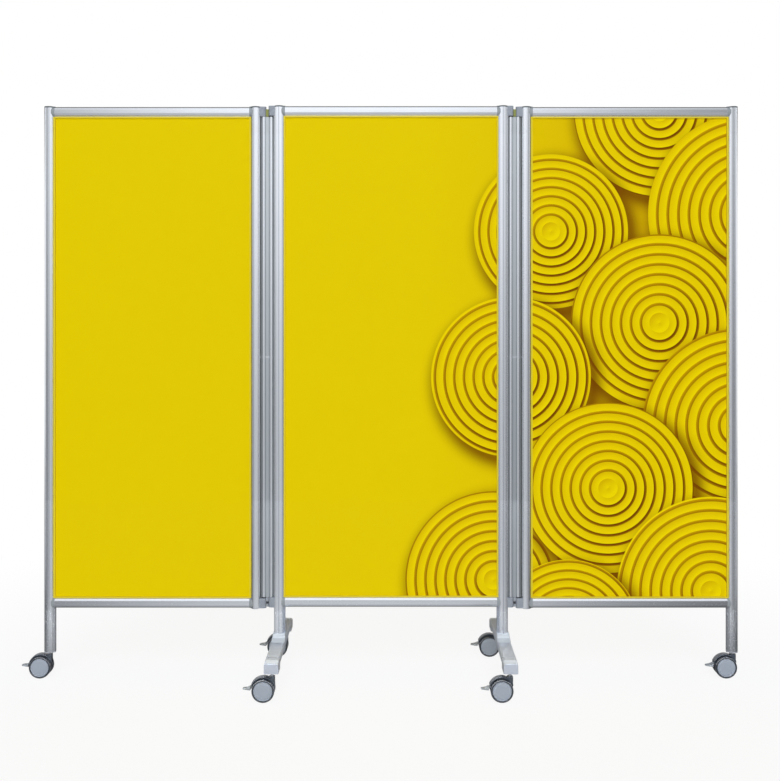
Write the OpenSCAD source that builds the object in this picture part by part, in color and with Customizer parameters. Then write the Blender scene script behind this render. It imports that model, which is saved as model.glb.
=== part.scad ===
// Rolling partition: three framed sheets in line. The middle panel stands on two T-feet with four
// twin-wheel castors. A wing hangs on each side of it by a double-pivot hinge strip, and has one outer
// leg with one castor, so that it folds flat against either face of the middle panel.
// Millimetres, +Z up, the front faces -Y, the floor is Z = 0.

/* [Panels] */
// Height of the middle panel over its post caps
overall_h = 2000; // [1600:10:2300]
// Distance between the axes of the middle panel's posts
centre_pitch = 784; // [700:2:1000]
// Distance between the axes of a wing's posts
wing_pitch = 723; // [600:1:760]
// How much lower the wings sit than the middle panel
wing_drop = 3; // [1:0.5:6]
// Height of the middle panel's lower rail axis
low_rail_z = 262.5; // [240:0.5:320]
// Thickness of a sheet
sheet_t = 5; // [3:0.5:6]
// How far each face of a sheet is stepped back along the edge that sits in the frame
sheet_step = 0.3; // [0.2:0.1:0.6]

/* [Frame extrusion] */
// Diameter of the round tube that posts and rails are cut from
tube_d = 35; // [32:0.5:38]
// Wall of the tube
tube_wall = 2.5; // [2:0.25:3]
// How far the nose that holds the sheet stands out of the tube
nose_out = 4; // [3.5:0.25:6]
// Width of the nose
nose_w = 14; // [12:0.5:16]
// Side of the square that cuts the fine groove along the front and the back of a post
groove_side = 1.7; // [1:0.1:2]
// Depth of a rail from front to back
rail_d = 30; // [27:0.5:32]

/* [Hinges] */
// Distance between the two pivots of a hinge
pivot_gap = 26; // [25:0.5:30]
// Distance from a pivot to the axis of its post
pivot_arm = 28; // [27.5:0.25:32]
// Radius of a hinge block's round end
block_r = 9.1; // [7:0.1:9.5]
// Radius of the beads along a hinge strip
bead_r = 6.2; // [5:0.1:7]
// Radius of a hinge pin
pin_r = 3; // [2.5:0.25:3.5]

/* [Feet] */
// Distance from the middle panel to the castors under its feet
foot_reach = 217; // [190:1:260]
// Width of a foot beam
beam_w = 47; // [44:1:48]
// Height of a foot beam's top
beam_top_z = 134; // [128:1:140]
// Height of a foot beam's underside
beam_low_z = 112; // [106:1:116]
// Length of the block at each end of a foot
end_block_l = 58; // [52:1:64]

/* [Castors] */
// Radius of a castor wheel
wheel_r = 37.5; // [35:0.5:40]
// Width of one of the two wheels
wheel_w = 19; // [16:0.5:20]
// Distance that the axle trails behind the stem
trail = 28; // [26:0.5:28]
// Radius of the stem
stem_r = 5; // [4:0.5:5]

/* [Hidden] */
$fn = 64;
running_gap = 0.05;
side_of = [-1, 1];

// Extrusion
tube_r = tube_d / 2;
bore_r = tube_r - tube_wall;
nose_r = tube_r + nose_out;
slot_floor = tube_r - 1;
sheet_edge = tube_r;
sheet_field = nose_r + 0.3;
rail_h = tube_d;
rail_round = 14;
cap_t = 5;
cap_proud = 1.5;
cap_dome = 1;
cap_spigot = 12;
foot_cap_t = 1.5;
saddle_spigot = 22;

// Heights of the two kinds of panel
post_top_z = overall_h - cap_t;
top_rail_z = overall_h - cap_proud - rail_h / 2;
leg_low_z = 91.5;

// Stations along X, counted from the middle of the middle panel
centre_half = centre_pitch / 2;
wing_inner = centre_half + 2 * pivot_arm + pivot_gap;
wing_outer = wing_inner + wing_pitch;
wing_mid = (wing_inner + wing_outer) / 2;
wing_low_z = low_rail_z - wing_drop;
wing_high_z = top_rail_z - wing_drop;
function wing_left(side) = side * wing_mid - wing_pitch / 2;
function wing_right(side) = side * wing_mid + wing_pitch / 2;
link_mid = centre_half + pivot_arm + pivot_gap / 2;

// Hinges
block_h = 35;
block_shift = 1;
top_block_z = top_rail_z + block_shift;
low_block_z = low_rail_z - block_shift;
strip_gap = 0.3;
strip_top_z = top_block_z - wing_drop - block_h / 2 - strip_gap;
strip_low_z = low_block_z + block_h / 2 + strip_gap;
web_half_t = 4.6;
strip_notch = 2.3;
pin_seat = 28;
pin_recess = 1;
spacer_w = 9;
spacer_d = 14;
spacer_clear = 0.9;
spacer_h = 26;
low_spacer_h = 33;
lip_t = 2;
lip_reach = pivot_arm - tube_r - strip_gap;
washer_r = 8.5;

// Feet
beam_wall = 3;
cut_extra = 1;
beam_top_round = 6;
beam_low_round = 2;
block_w = beam_w + 1;
block_low_z = 96;
block_top_round = 9;
block_low_round = 2.5;
block_nose_z = 129;
block_slope_l = 19;
spigot_l = 26;
stem_seat = 30;
block_inner_y = foot_reach - end_block_l / 2;
block_outer_y = foot_reach + end_block_l / 2;
collar_h = 21;
collar_top_out = 20.5;
collar_low_out = 23.5;
collar_in = 24;
collar_top_y = 22;
collar_low_y = 46;
collar_flange = [collar_low_y - 8, 4];
collar_waist = [collar_top_y + 4, 9];
insert_h = 30;
bolt_r = 4;
bolt_head_r = 6.5;
bolt_head_h = 5;
bolt_socket_r = 2.8;
bolt_grip = 22;
bolt_hole_r = 4.3;
access_hole_r = 9;
plug_h = 36;
stem_rise = 30;

// Castors, in a frame with the stem's axis at X = 0 and the axle at X = -trail
wheel_gap = 11;
tyre_depth = 6;
tyre_round = 4;
hub_r = wheel_r - tyre_depth;
hub_dome = 1.6;
axle_r = 4;
axle_half_l = 20;
hood_r = wheel_r + 6;
hood_clear_r = wheel_r + 2.3;
hood_half_w = 12;
web_half_w = wheel_gap / 2 - 0.7;
web_hub_r = 27;
hood_top_z = wheel_r + hood_r;
neck_r = 12;
neck_low_z = 50;
hood_back_x = wheel_r - trail;
hood_from = 8;
hood_to = 160;
web_to = 166;
stem_low_z = 70.5;
pedal_pivot = [-58, 52];
pedal_pin_r = 2.5;
pedal_pin_half_l = web_half_w - 0.1;
pedal_boss_r = 6;
pedal_half_t = 1.6;
pedal_slot_gap = 0.3;
pedal_root_r = wheel_r + 5.5;
pedal_reach = 97;
pedal_root_high_z = 49;
pedal_root_low_z = 36;
pedal_waist = [-78, 44.5];
pedal_tip_z = 40.5;
pedal_tip_r = 2.5;
pedal_root_w = 27;
pedal_tip_w = 17;
pedal_root_x = -trail - pedal_root_r;
pedal_root_in = 4;
pedal_arm_in = 2;
pedal_swing_l = 26;
pedal_swing_from = 165;
pedal_swing_to = 254;

// The pedals stand out further on the left than the caps do on the right: this centres the whole
shift_x = (pedal_reach - tube_r) / 2;

// Castors: name, and where the stem stands
CASTORS = [
    ["left_wing", -wing_outer, 0],
    ["right_wing", wing_outer, 0],
    ["left_front", -centre_half, -foot_reach],
    ["left_rear", -centre_half, foot_reach],
    ["right_front", centre_half, -foot_reach],
    ["right_rear", centre_half, foot_reach],
];
// Sides: name, and the sign of X
SIDES = [["left", -1], ["right", 1]];
CENTRE_PARTS = [
    "centre_left_post", "centre_right_post", "centre_top_rail", "centre_bottom_rail", "centre_sheet",
    "centre_rail_saddles", "centre_post_caps", "centre_hinge_blocks", "foot_beams", "foot_collars",
    "foot_fixings", "foot_castor_stems",
];
SIDE_PARTS = ["foot_end_blocks", "hinge_strip", "hinge_pin_set"];
WING_PARTS = [
    "wing_outer_post", "wing_inner_post", "wing_top_rail", "wing_bottom_rail", "wing_sheet",
    "wing_rail_saddles", "wing_post_caps", "wing_hinge_blocks", "wing_castor_stem",
];
CASTOR_PARTS = ["hood", "front_wheel", "back_wheel", "pedal"];

// ---- Shared shapes -------------------------------------------------------------------------------

// A rectangle centred on X, standing on Y = 0, with one radius at its top and one at its foot
module rounded_section(w, h, top_round, low_round) {
    union() {
        translate([-w / 2, low_round]) square([w, h - top_round - low_round]);
        translate([top_round - w / 2, low_round]) square([w - 2 * top_round, h - low_round]);
        translate([low_round - w / 2, 0]) square([w - 2 * low_round, h - top_round]);
        for (s = side_of) {
            translate([s * (w / 2 - top_round), h - top_round]) circle(r = top_round);
            translate([s * (w / 2 - low_round), low_round]) circle(r = low_round);
        }
    }
}

// Outline of a post: a tube with a nose towards +X
module post_outline() {
    union() {
        circle(r = tube_r);
        translate([0, -nose_w / 2]) square([nose_r, nose_w]);
    }
}

// Outline of a rail: a round-cornered tube, here with its top towards +X
module rail_outline(inset = 0) {
    translate([-rail_h / 2 + inset, 0])
    rotate(-90)
    rounded_section(rail_d - 2 * inset, rail_h - 2 * inset, rail_round - inset, rail_round - inset);
}

// The slot in a nose that holds the sheet's edge
module sheet_slot() {
    slot_w = sheet_t - 2 * sheet_step;
    translate([slot_floor, -slot_w / 2]) square([nose_r, slot_w]);
}

// A post from z_low to z_high at X = x, its nose towards nose_dir, with a groove along front and back
module post(x, nose_dir, z_low, z_high, grooved = true) {
    color("silver")
    translate([x, 0, z_low])
    rotate([0, 0, nose_dir > 0 ? 0 : 180])
    linear_extrude(z_high - z_low)
    difference() {
        post_outline();
        circle(r = bore_r);
        sheet_slot();
        if (grooved) {
            for (s = side_of) translate([0, s * tube_r]) rotate(45) square(groove_side, center = true);
        }
    }
}

// A square-cut rail between posts at x_low and x_high, with its nose up (1) or down (-1)
module rail(x_low, x_high, z, nose_dir) {
    color("silver")
    translate([(x_low + x_high) / 2, 0, z])
    rotate([0, -90 * nose_dir, 0])
    linear_extrude(x_high - x_low - 2 * nose_r, center = true)
    difference() {
        union() {
            rail_outline();
            translate([0, -nose_w / 2]) square([nose_r, nose_w]);
        }
        rail_outline(inset = tube_wall);
        sheet_slot();
    }
}

// The saddle between a post and a rail's square end: hollowed to the post, with a spigot in the rail
module rail_saddle(x, rail_dir, z) {
    color("darkgray")
    difference() {
        translate([x, 0, z])
        rotate([0, 90 * rail_dir, 0]) {
            linear_extrude(nose_r) rail_outline();
            linear_extrude(nose_r + saddle_spigot) rail_outline(inset = tube_wall);
        }
        translate([x, 0, z - rail_h])
        rotate([0, 0, rail_dir > 0 ? 0 : 180])
        linear_extrude(2 * rail_h) post_outline();
    }
}

// The four saddles of one panel
module rail_saddles(x_low, x_high, z_low, z_high) {
    for (z = [z_low, z_high]) {
        rail_saddle(x_low, 1, z);
        rail_saddle(x_high, -1, z);
    }
}

// A plate upright in the middle of a frame, which stops inset short of the posts' and rails' axes
module upright_plate(x_low, x_high, z_low, z_high, inset, t) {
    translate([x_low + inset, -t / 2, z_low + inset])
    cube([x_high - x_low - 2 * inset, t, z_high - z_low - 2 * inset]);
}

// A sheet between two posts and two rails: its stepped edge is in their slots, its faces lie free
module sheet(x_low, x_high, z_low, z_high) {
    color([0.9, 0.8, 0.05])
    union() {
        upright_plate(x_low, x_high, z_low, z_high, sheet_edge, sheet_t - 2 * sheet_step);
        upright_plate(x_low, x_high, z_low, z_high, sheet_field, sheet_t);
    }
}

// A cap on the top end of a post: a plate with a low crown, and a spigot in the bore
module top_cap(x, nose_dir, z) {
    color("dimgray")
    translate([x, 0, z])
    rotate([0, 0, nose_dir > 0 ? 0 : 180]) {
        linear_extrude(cap_t - cap_dome) post_outline();
        translate([0, 0, cap_t - cap_dome]) cylinder(r1 = tube_r, r2 = tube_r - 2 * cap_dome, h = cap_dome);
        translate([0, 0, -cap_spigot]) cylinder(r = bore_r, h = cap_spigot);
    }
}

// A round-edged cap under a post that ends above the floor
module bottom_cap(x, z) {
    color("dimgray")
    translate([x, 0, z])
    rotate_extrude() {
        square([bore_r, cap_spigot]);
        translate([0, -foot_cap_t]) square([tube_r - foot_cap_t, foot_cap_t]);
        intersection() {
            translate([tube_r - foot_cap_t, 0]) circle(r = foot_cap_t);
            translate([0, -foot_cap_t]) square([tube_r, foot_cap_t]);
        }
    }
}

// ---- Hinges --------------------------------------------------------------------------------------

// The block that ties one pivot to its post. The post is arm_dir * pivot_arm away from the pivot.
module hinge_block(pivot_x, arm_dir, z) {
    color("gray")
    difference() {
        translate([pivot_x, 0, z - block_h / 2])
        linear_extrude(block_h)
        union() {
            circle(r = block_r);
            translate([arm_dir > 0 ? 0 : -pivot_arm, -block_r]) square([pivot_arm, 2 * block_r]);
        }
        translate([pivot_x + arm_dir * pivot_arm, 0, z - block_h]) cylinder(r = tube_r, h = 2 * block_h);
        translate([pivot_x, 0, z - block_h]) cylinder(r = pin_r + running_gap, h = 2 * block_h);
    }
}

// The strip between the pivots: two hollow beads, a web with a notch beside each bead, and on each side
// a soft lip that all but closes the gap to the post
module hinge_strip(side) {
    color("silver")
    translate([side * link_mid, 0, strip_low_z])
    linear_extrude(strip_top_z - strip_low_z)
    difference() {
        union() {
            for (s = side_of) translate([s * pivot_gap / 2, 0]) circle(r = bead_r);
            square([pivot_gap, 2 * web_half_t], center = true);
            square([pivot_gap + 2 * lip_reach, lip_t], center = true);
        }
        for (s = side_of) {
            translate([s * pivot_gap / 2, 0]) circle(r = pin_r);
            for (t = side_of) {
                translate([s * (pivot_gap / 2 - bead_r), t * web_half_t])
                rotate(45) square(strip_notch, center = true);
            }
        }
    }
}

// A waisted spacer on an end of the strip, which keeps clear of the blocks as they turn
module hinge_spacer(h) {
    linear_extrude(h)
    difference() {
        square([spacer_w, spacer_d], center = true);
        for (s = side_of) translate([s * pivot_gap / 2, 0]) circle(r = block_r + spacer_clear);
    }
}

// The four pins, each seated in the strip's end and running in a block, two washers where a block is
// further from the strip's end, and the two spacers on the strip's ends
module hinge_pin_set(side) {
    for (s = side_of) {
        drop = s == side ? wing_drop : 0;
        pin_top_z = top_block_z - drop + block_h / 2 - pin_recess;
        pin_low_z = low_block_z - drop - block_h / 2 + pin_recess;
        color("lightgray")
        translate([side * link_mid + s * pivot_gap / 2, 0, 0]) {
            translate([0, 0, strip_top_z - pin_seat])
            cylinder(r = pin_r, h = pin_top_z - strip_top_z + pin_seat);
            translate([0, 0, pin_low_z]) cylinder(r = pin_r, h = strip_low_z + pin_seat - pin_low_z);
        }
        color("black")
        translate([side * link_mid + s * pivot_gap / 2, 0, drop > 0 ? strip_low_z - drop : strip_top_z])
        cylinder(r = washer_r, h = wing_drop);
    }
    color("darkkhaki")
    translate([side * link_mid, 0, 0]) {
        translate([0, 0, strip_top_z]) hinge_spacer(spacer_h);
        translate([0, 0, strip_low_z - low_spacer_h]) hinge_spacer(low_spacer_h);
    }
}

// ---- Middle panel --------------------------------------------------------------------------------

module centre_post(side) {
    post(side * centre_half, -side, beam_top_z, post_top_z);
}

module centre_post_caps() {
    for (s = side_of) top_cap(s * centre_half, -s, post_top_z);
}

module centre_hinge_blocks() {
    for (s = side_of, z = [low_block_z, top_block_z]) {
        hinge_block(s * (centre_half + pivot_arm), -s, z);
    }
}

// ---- Feet ----------------------------------------------------------------------------------------

// The hollow beam of a foot, with the hole for the bolt and the way in to it from below
module foot_beam(side) {
    beam_h = beam_top_z - beam_low_z;
    color("lightslategray")
    translate([side * centre_half, 0, beam_low_z])
    difference() {
        translate([0, block_inner_y, 0])
        rotate([90, 0, 0])
        linear_extrude(2 * block_inner_y)
        difference() {
            rounded_section(beam_w, beam_h, beam_top_round, beam_low_round);
            translate([0, beam_wall]) beam_bore_section();
        }
        cylinder(r = bolt_hole_r, h = beam_h + cut_extra);
        translate([0, 0, -cut_extra]) cylinder(r = access_hole_r, h = beam_wall + 2 * cut_extra);
    }
}

// Section of the beam's hollow, which the end blocks' spigots fill
module beam_bore_section() {
    rounded_section(
        beam_w - 2 * beam_wall, beam_top_z - beam_low_z - 2 * beam_wall,
        beam_top_round - beam_wall, beam_low_round / 2
    );
}

// The block on one end of a foot: round-shouldered, its top sloped at the nose, bored for a castor
module foot_end_block(side, end) {
    block_full_h = beam_top_z - block_low_z;
    translate([side * centre_half, 0, 0])
    mirror([0, end > 0 ? 0 : 1, 0])
    difference() {
        union() {
            intersection() {
                translate([0, block_outer_y, block_low_z])
                rotate([90, 0, 0])
                linear_extrude(end_block_l)
                rounded_section(block_w, block_full_h, block_top_round, block_low_round);
                rotate([90, 0, 90])
                linear_extrude(2 * block_w, center = true)
                polygon([
                    [block_inner_y, block_low_z],
                    [block_outer_y, block_low_z],
                    [block_outer_y, block_nose_z],
                    [block_outer_y - block_slope_l, beam_top_z],
                    [block_inner_y, beam_top_z],
                ]);
            }
            translate([0, block_inner_y + cut_extra, beam_low_z + beam_wall])
            rotate([90, 0, 0])
            linear_extrude(spigot_l + cut_extra) beam_bore_section();
        }
        translate([0, foot_reach, 0]) cylinder(r = stem_r, h = block_low_z + stem_seat);
    }
}

module foot_beams() {
    for (s = side_of) foot_beam(s);
}

module foot_end_blocks(side) {
    color("lightsteelblue")
    for (end = side_of) foot_end_block(side, end);
}

// Half of the collar's outline from front to back, from its foot up
function collar_edge(dir) = [
    [dir * collar_low_y, 0],
    [dir * collar_flange[0], collar_flange[1]],
    [dir * collar_waist[0], collar_waist[1]],
    [dir * collar_top_y, collar_h],
];

// The flared collar round the foot of a post, wider on the side of the post's nose
module foot_collar(side) {
    translate([side * centre_half, 0, beam_top_z])
    mirror([side > 0 ? 0 : 1, 0, 0])
    difference() {
        intersection() {
            rotate([90, 0, 0])
            linear_extrude(2 * collar_low_y, center = true)
            polygon([
                [-collar_in, 0],
                [collar_low_out, 0],
                [collar_top_out, collar_h],
                [-collar_in, collar_h],
            ]);
            rotate([90, 0, 90])
            linear_extrude(2 * collar_in, center = true)
            polygon([for (dir = side_of, k = [0:3]) collar_edge(dir)[dir > 0 ? 3 - k : k]]);
        }
        translate([0, 0, -cut_extra])
        rotate([0, 0, 180])
        linear_extrude(collar_h + 2 * cut_extra) post_outline();
    }
}

module foot_collars() {
    color("lightgray")
    for (s = side_of) foot_collar(s);
}

// The threaded insert in each post's foot, and the bolt that holds the beam to it
module foot_fixing(side) {
    under_top_z = beam_top_z - beam_wall;
    translate([side * centre_half, 0, 0]) {
        difference() {
            translate([0, 0, beam_top_z]) cylinder(r = bore_r, h = insert_h);
            cylinder(r = bolt_r, h = under_top_z + bolt_grip);
        }
        translate([0, 0, under_top_z]) cylinder(r = bolt_r, h = bolt_grip);
        translate([0, 0, under_top_z - bolt_head_h])
        difference() {
            cylinder(r = bolt_head_r, h = bolt_head_h);
            translate([0, 0, -cut_extra]) cylinder(r = bolt_socket_r, h = bolt_head_h, $fn = 6);
        }
    }
}

module foot_fixings() {
    color("silver")
    for (s = side_of) foot_fixing(s);
}

module foot_castor_stems() {
    color("silver")
    for (s = side_of, end = side_of) {
        translate([s * centre_half, end * foot_reach, stem_low_z])
        cylinder(r = stem_r, h = block_low_z + stem_seat - stem_low_z);
    }
}

// ---- Wings ---------------------------------------------------------------------------------------

module wing_outer_post(side) {
    post(side * wing_outer, -side, leg_low_z, post_top_z - wing_drop);
}

module wing_inner_post(side) {
    post(side * wing_inner, side, wing_low_z - tube_r, post_top_z - wing_drop, grooved = false);
}

module wing_rail(side, z, nose_dir) {
    rail(wing_left(side), wing_right(side), z, nose_dir);
}

module wing_sheet(side) {
    sheet(wing_left(side), wing_right(side), wing_low_z, wing_high_z);
}

module wing_rail_saddles(side) {
    rail_saddles(wing_left(side), wing_right(side), wing_low_z, wing_high_z);
}

module wing_post_caps(side) {
    top_cap(side * wing_outer, -side, post_top_z - wing_drop);
    top_cap(side * wing_inner, side, post_top_z - wing_drop);
    bottom_cap(side * wing_inner, wing_low_z - tube_r);
}

module wing_hinge_blocks(side) {
    for (z = [low_block_z, top_block_z]) {
        hinge_block(side * (wing_inner - pivot_arm), side, z - wing_drop);
    }
}

// The castor's stem and the plug that holds it in the open end of the leg
module wing_castor_stem(side) {
    color("silver")
    translate([side * wing_outer, 0, 0]) {
        difference() {
            translate([0, 0, leg_low_z]) cylinder(r = bore_r, h = plug_h);
            cylinder(r = stem_r, h = leg_low_z + stem_rise);
        }
        translate([0, 0, stem_low_z]) cylinder(r = stem_r, h = leg_low_z + stem_rise - stem_low_z);
    }
}

// ---- Castors -------------------------------------------------------------------------------------

// Turns a drawing of X and Z into a plate of half-width half_w across Y
module plate(half_w) {
    rotate([90, 0, 0]) linear_extrude(2 * half_w, center = true) children();
}

// The part of a disc about the axle between two angles, clipped at the hood's upright back
module hood_sector(r, from, to) {
    far = 2 * hood_r;
    intersection() {
        translate([-trail, wheel_r]) circle(r = r);
        translate([-trail, wheel_r])
        polygon([
            [0, 0],
            far * [cos(from), sin(from)],
            far * [1, 1],
            far * [-1, 1],
            far * [cos(to), sin(to)],
        ]);
        translate([-far - trail, -far]) square([far + trail + hood_back_x, 3 * far]);
    }
}

// The cut in the web that the pedal's arm swings in
module pedal_swing() {
    middle = (pedal_swing_from + pedal_swing_to) / 2;
    translate(pedal_pivot) {
        circle(r = pedal_boss_r + 1);
        polygon([
            [0, 0],
            for (a = [pedal_swing_from, middle, pedal_swing_to]) pedal_swing_l * [cos(a), sin(a)],
        ]);
    }
}

// The hood: a web between the wheels, a guard over them, and the neck that turns on the stem
module castor_hood() {
    color("dimgray")
    difference() {
        union() {
            plate(web_half_w) {
                translate([-trail, wheel_r]) circle(r = web_hub_r);
                hood_sector(hood_r, hood_from, hood_to);
                hood_sector(hood_clear_r, hood_from, web_to);
            }
            difference() {
                union() {
                    plate(hood_half_w) hood_sector(hood_r, hood_from, hood_to);
                    intersection() {
                        translate([0, 0, neck_low_z]) cylinder(r = neck_r, h = hood_top_z - neck_low_z);
                        translate([-neck_r, -neck_r, 0])
                        cube([neck_r + hood_back_x, 2 * neck_r, hood_top_z]);
                    }
                }
                translate([-trail, 0, wheel_r])
                rotate([90, 0, 0])
                cylinder(r = hood_clear_r, h = 2 * (hood_half_w + cut_extra), center = true);
            }
        }
        translate([0, 0, stem_low_z]) cylinder(r = stem_r + running_gap, h = hood_top_z);
        translate([-trail, 0, wheel_r])
        rotate([90, 0, 0])
        cylinder(r = axle_r, h = 2 * (web_half_w + cut_extra), center = true);
        plate(pedal_half_t + pedal_slot_gap) pedal_swing();
        translate([pedal_pivot[0], 0, pedal_pivot[1]])
        rotate([90, 0, 0])
        cylinder(r = pedal_pin_r + running_gap, h = 2 * (web_half_w + cut_extra), center = true);
    }
    color("silver")
    translate([-trail, 0, wheel_r])
    rotate([90, 0, 0])
    cylinder(r = axle_r, h = 2 * axle_half_l, center = true);
}

// One wheel: a hub disc with a blind bore for the axle, and the tyre moulded round it
module castor_wheel(side) {
    inner = wheel_gap / 2;
    outer = inner + wheel_w;
    translate([-trail, 0, wheel_r])
    rotate([side > 0 ? -90 : 90, 0, 0]) {
        color("lightslategray")
        rotate_extrude()
        difference() {
            polygon([
                [0, inner],
                [hub_r, inner],
                [hub_r, outer - 2 * hub_dome],
                [hub_r - 2 * hub_dome, outer - hub_dome],
                [hub_r / 2, outer - hub_dome / 4],
                [0, outer],
            ]);
            square([axle_r + running_gap, axle_half_l + running_gap]);
        }
        color("darkslategray")
        rotate_extrude()
        union() {
            translate([hub_r, inner]) square([tyre_depth - tyre_round, wheel_w]);
            translate([hub_r, inner + tyre_round]) square([tyre_depth, wheel_w - 2 * tyre_round]);
            for (y = [inner + tyre_round, outer - tyre_round]) {
                translate([wheel_r - tyre_round, y]) circle(r = tyre_round);
            }
        }
    }
}

// The brake pedal: an arm on a cross pin between the wheels, and a tongue for the foot outside them
module castor_pedal() {
    tip_x = -pedal_reach + pedal_tip_r;
    color("gray")
    union() {
        plate(pedal_half_t)
        union() {
            translate(pedal_pivot) circle(r = pedal_boss_r);
            polygon([
                pedal_pivot + [0, pedal_boss_r - pedal_arm_in],
                [pedal_root_x - pedal_arm_in, pedal_root_high_z - pedal_arm_in],
                [pedal_root_x - pedal_arm_in, pedal_root_low_z + pedal_root_in],
                [pedal_root_x, pedal_root_low_z + pedal_root_in],
                pedal_pivot + [pedal_arm_in, -pedal_boss_r + pedal_arm_in],
            ]);
        }
        plate(pedal_pin_half_l) translate(pedal_pivot) circle(r = pedal_pin_r);
        intersection() {
            plate(pedal_root_w / 2)
            difference() {
                union() {
                    polygon([
                        [pedal_root_x + pedal_root_in, pedal_root_high_z],
                        pedal_waist,
                        [tip_x, pedal_tip_z + pedal_tip_r],
                        [tip_x, pedal_tip_z - pedal_tip_r],
                        [pedal_root_x + pedal_root_in, pedal_root_low_z],
                    ]);
                    translate([tip_x, pedal_tip_z]) circle(r = pedal_tip_r);
                }
                translate([-trail, wheel_r]) circle(r = pedal_root_r);
            }
            linear_extrude(2 * wheel_r)
            union() {
                polygon([
                    [-trail - wheel_r, -pedal_root_w / 2],
                    [-pedal_reach + pedal_tip_w / 2, -pedal_tip_w / 2],
                    [-pedal_reach + pedal_tip_w / 2, pedal_tip_w / 2],
                    [-trail - wheel_r, pedal_root_w / 2],
                ]);
                translate([-pedal_reach + pedal_tip_w / 2, 0]) circle(r = pedal_tip_w / 2);
            }
        }
    }
}

module castor_part(part) {
    if (part == "hood") castor_hood();
    if (part == "front_wheel") castor_wheel(-1);
    if (part == "back_wheel") castor_wheel(1);
    if (part == "pedal") castor_pedal();
}

// ---- The whole -----------------------------------------------------------------------------------

module centre_part(part) {
    if (part == "centre_left_post") centre_post(-1);
    if (part == "centre_right_post") centre_post(1);
    if (part == "centre_top_rail") rail(-centre_half, centre_half, top_rail_z, -1);
    if (part == "centre_bottom_rail") rail(-centre_half, centre_half, low_rail_z, 1);
    if (part == "centre_sheet") sheet(-centre_half, centre_half, low_rail_z, top_rail_z);
    if (part == "centre_rail_saddles") rail_saddles(-centre_half, centre_half, low_rail_z, top_rail_z);
    if (part == "centre_post_caps") centre_post_caps();
    if (part == "centre_hinge_blocks") centre_hinge_blocks();
    if (part == "foot_beams") foot_beams();
    if (part == "foot_collars") foot_collars();
    if (part == "foot_fixings") foot_fixings();
    if (part == "foot_castor_stems") foot_castor_stems();
}

module side_part(part, side) {
    if (part == "foot_end_blocks") foot_end_blocks(side);
    if (part == "hinge_strip") hinge_strip(side);
    if (part == "hinge_pin_set") hinge_pin_set(side);
    if (part == "wing_outer_post") wing_outer_post(side);
    if (part == "wing_inner_post") wing_inner_post(side);
    if (part == "wing_top_rail") wing_rail(side, wing_high_z, -1);
    if (part == "wing_bottom_rail") wing_rail(side, wing_low_z, 1);
    if (part == "wing_sheet") wing_sheet(side);
    if (part == "wing_rail_saddles") wing_rail_saddles(side);
    if (part == "wing_post_caps") wing_post_caps(side);
    if (part == "wing_hinge_blocks") wing_hinge_blocks(side);
    if (part == "wing_castor_stem") wing_castor_stem(side);
}

for (p = CENTRE_PARTS) {
    translate([shift_x, 0, 0]) centre_part(p);
}
for (s = SIDES, p = concat(SIDE_PARTS, WING_PARTS)) {
    translate([shift_x, 0, 0]) side_part(p, s[1]);
}
for (c = CASTORS, p = CASTOR_PARTS) {
    union() {
        translate([shift_x + c[1], c[2], 0]) castor_part(p);
    }
}
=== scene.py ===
"""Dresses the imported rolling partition: its finishes, its moulded and turned pieces, and a small studio.

Sizes are millimetres in the fields below, and metres in the scene. +Z is up and the front faces -Y.
"""

import logging
import math
from dataclasses import dataclass
from enum import Enum
from typing import Any, Sequence

import bpy
import numpy as np
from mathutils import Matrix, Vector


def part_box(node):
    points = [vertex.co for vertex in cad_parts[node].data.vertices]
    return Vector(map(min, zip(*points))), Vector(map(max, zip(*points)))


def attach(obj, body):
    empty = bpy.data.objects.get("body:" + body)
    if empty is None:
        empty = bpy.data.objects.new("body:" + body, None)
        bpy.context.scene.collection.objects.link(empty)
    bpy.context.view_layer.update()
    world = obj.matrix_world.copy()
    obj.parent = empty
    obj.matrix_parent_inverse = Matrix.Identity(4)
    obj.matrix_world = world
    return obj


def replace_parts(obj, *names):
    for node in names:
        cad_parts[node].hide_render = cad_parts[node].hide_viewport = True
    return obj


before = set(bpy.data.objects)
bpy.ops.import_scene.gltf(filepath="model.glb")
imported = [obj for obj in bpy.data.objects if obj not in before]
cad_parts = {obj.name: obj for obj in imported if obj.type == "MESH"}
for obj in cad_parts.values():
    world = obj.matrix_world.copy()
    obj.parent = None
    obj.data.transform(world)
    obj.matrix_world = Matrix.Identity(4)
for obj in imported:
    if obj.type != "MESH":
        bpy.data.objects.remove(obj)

LOG = logging.getLogger("partition")
MM = 0.001
# Every post: the radius of its tube, how far its nose reaches from its axis, and half of the nose's width
TUBE_R = 17.5
NOSE_R = 21.5
NOSE_HALF_W = 7.0
# Faces that meet at a larger angle than this many degrees are shaded with a sharp edge
SHARP_FROM = 38
# Points that each rounded corner of an outline becomes
STEPS = 5
Colour = tuple[float, float, float]
Point = tuple[float, float, float]


class Side(Enum):
    """Left or right of the middle panel, with the sign of X."""

    LEFT = ("left", -1)
    RIGHT = ("right", 1)

    @property
    def word(self) -> str:
        """The side's name in node names."""
        return self.value[0]

    @property
    def sign(self) -> int:
        """The sign of X on that side."""
        return self.value[1]


class Grain(Enum):
    """The direction that an extrusion was pressed in, as how much each axis stretches its lines."""

    UPRIGHT = (1.0, 1.0, 0.004)
    ACROSS = (0.004, 1.0, 1.0)


class Along(Enum):
    """Where a shape's own width, depth and height lie on X, Y and Z, by the way its height runs."""

    Y = (0, 2, 1)
    Z = (0, 1, 2)


class Seen(Enum):
    """From where a level card shows."""

    BOTH = 0
    ABOVE = 1
    BELOW = 2


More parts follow.
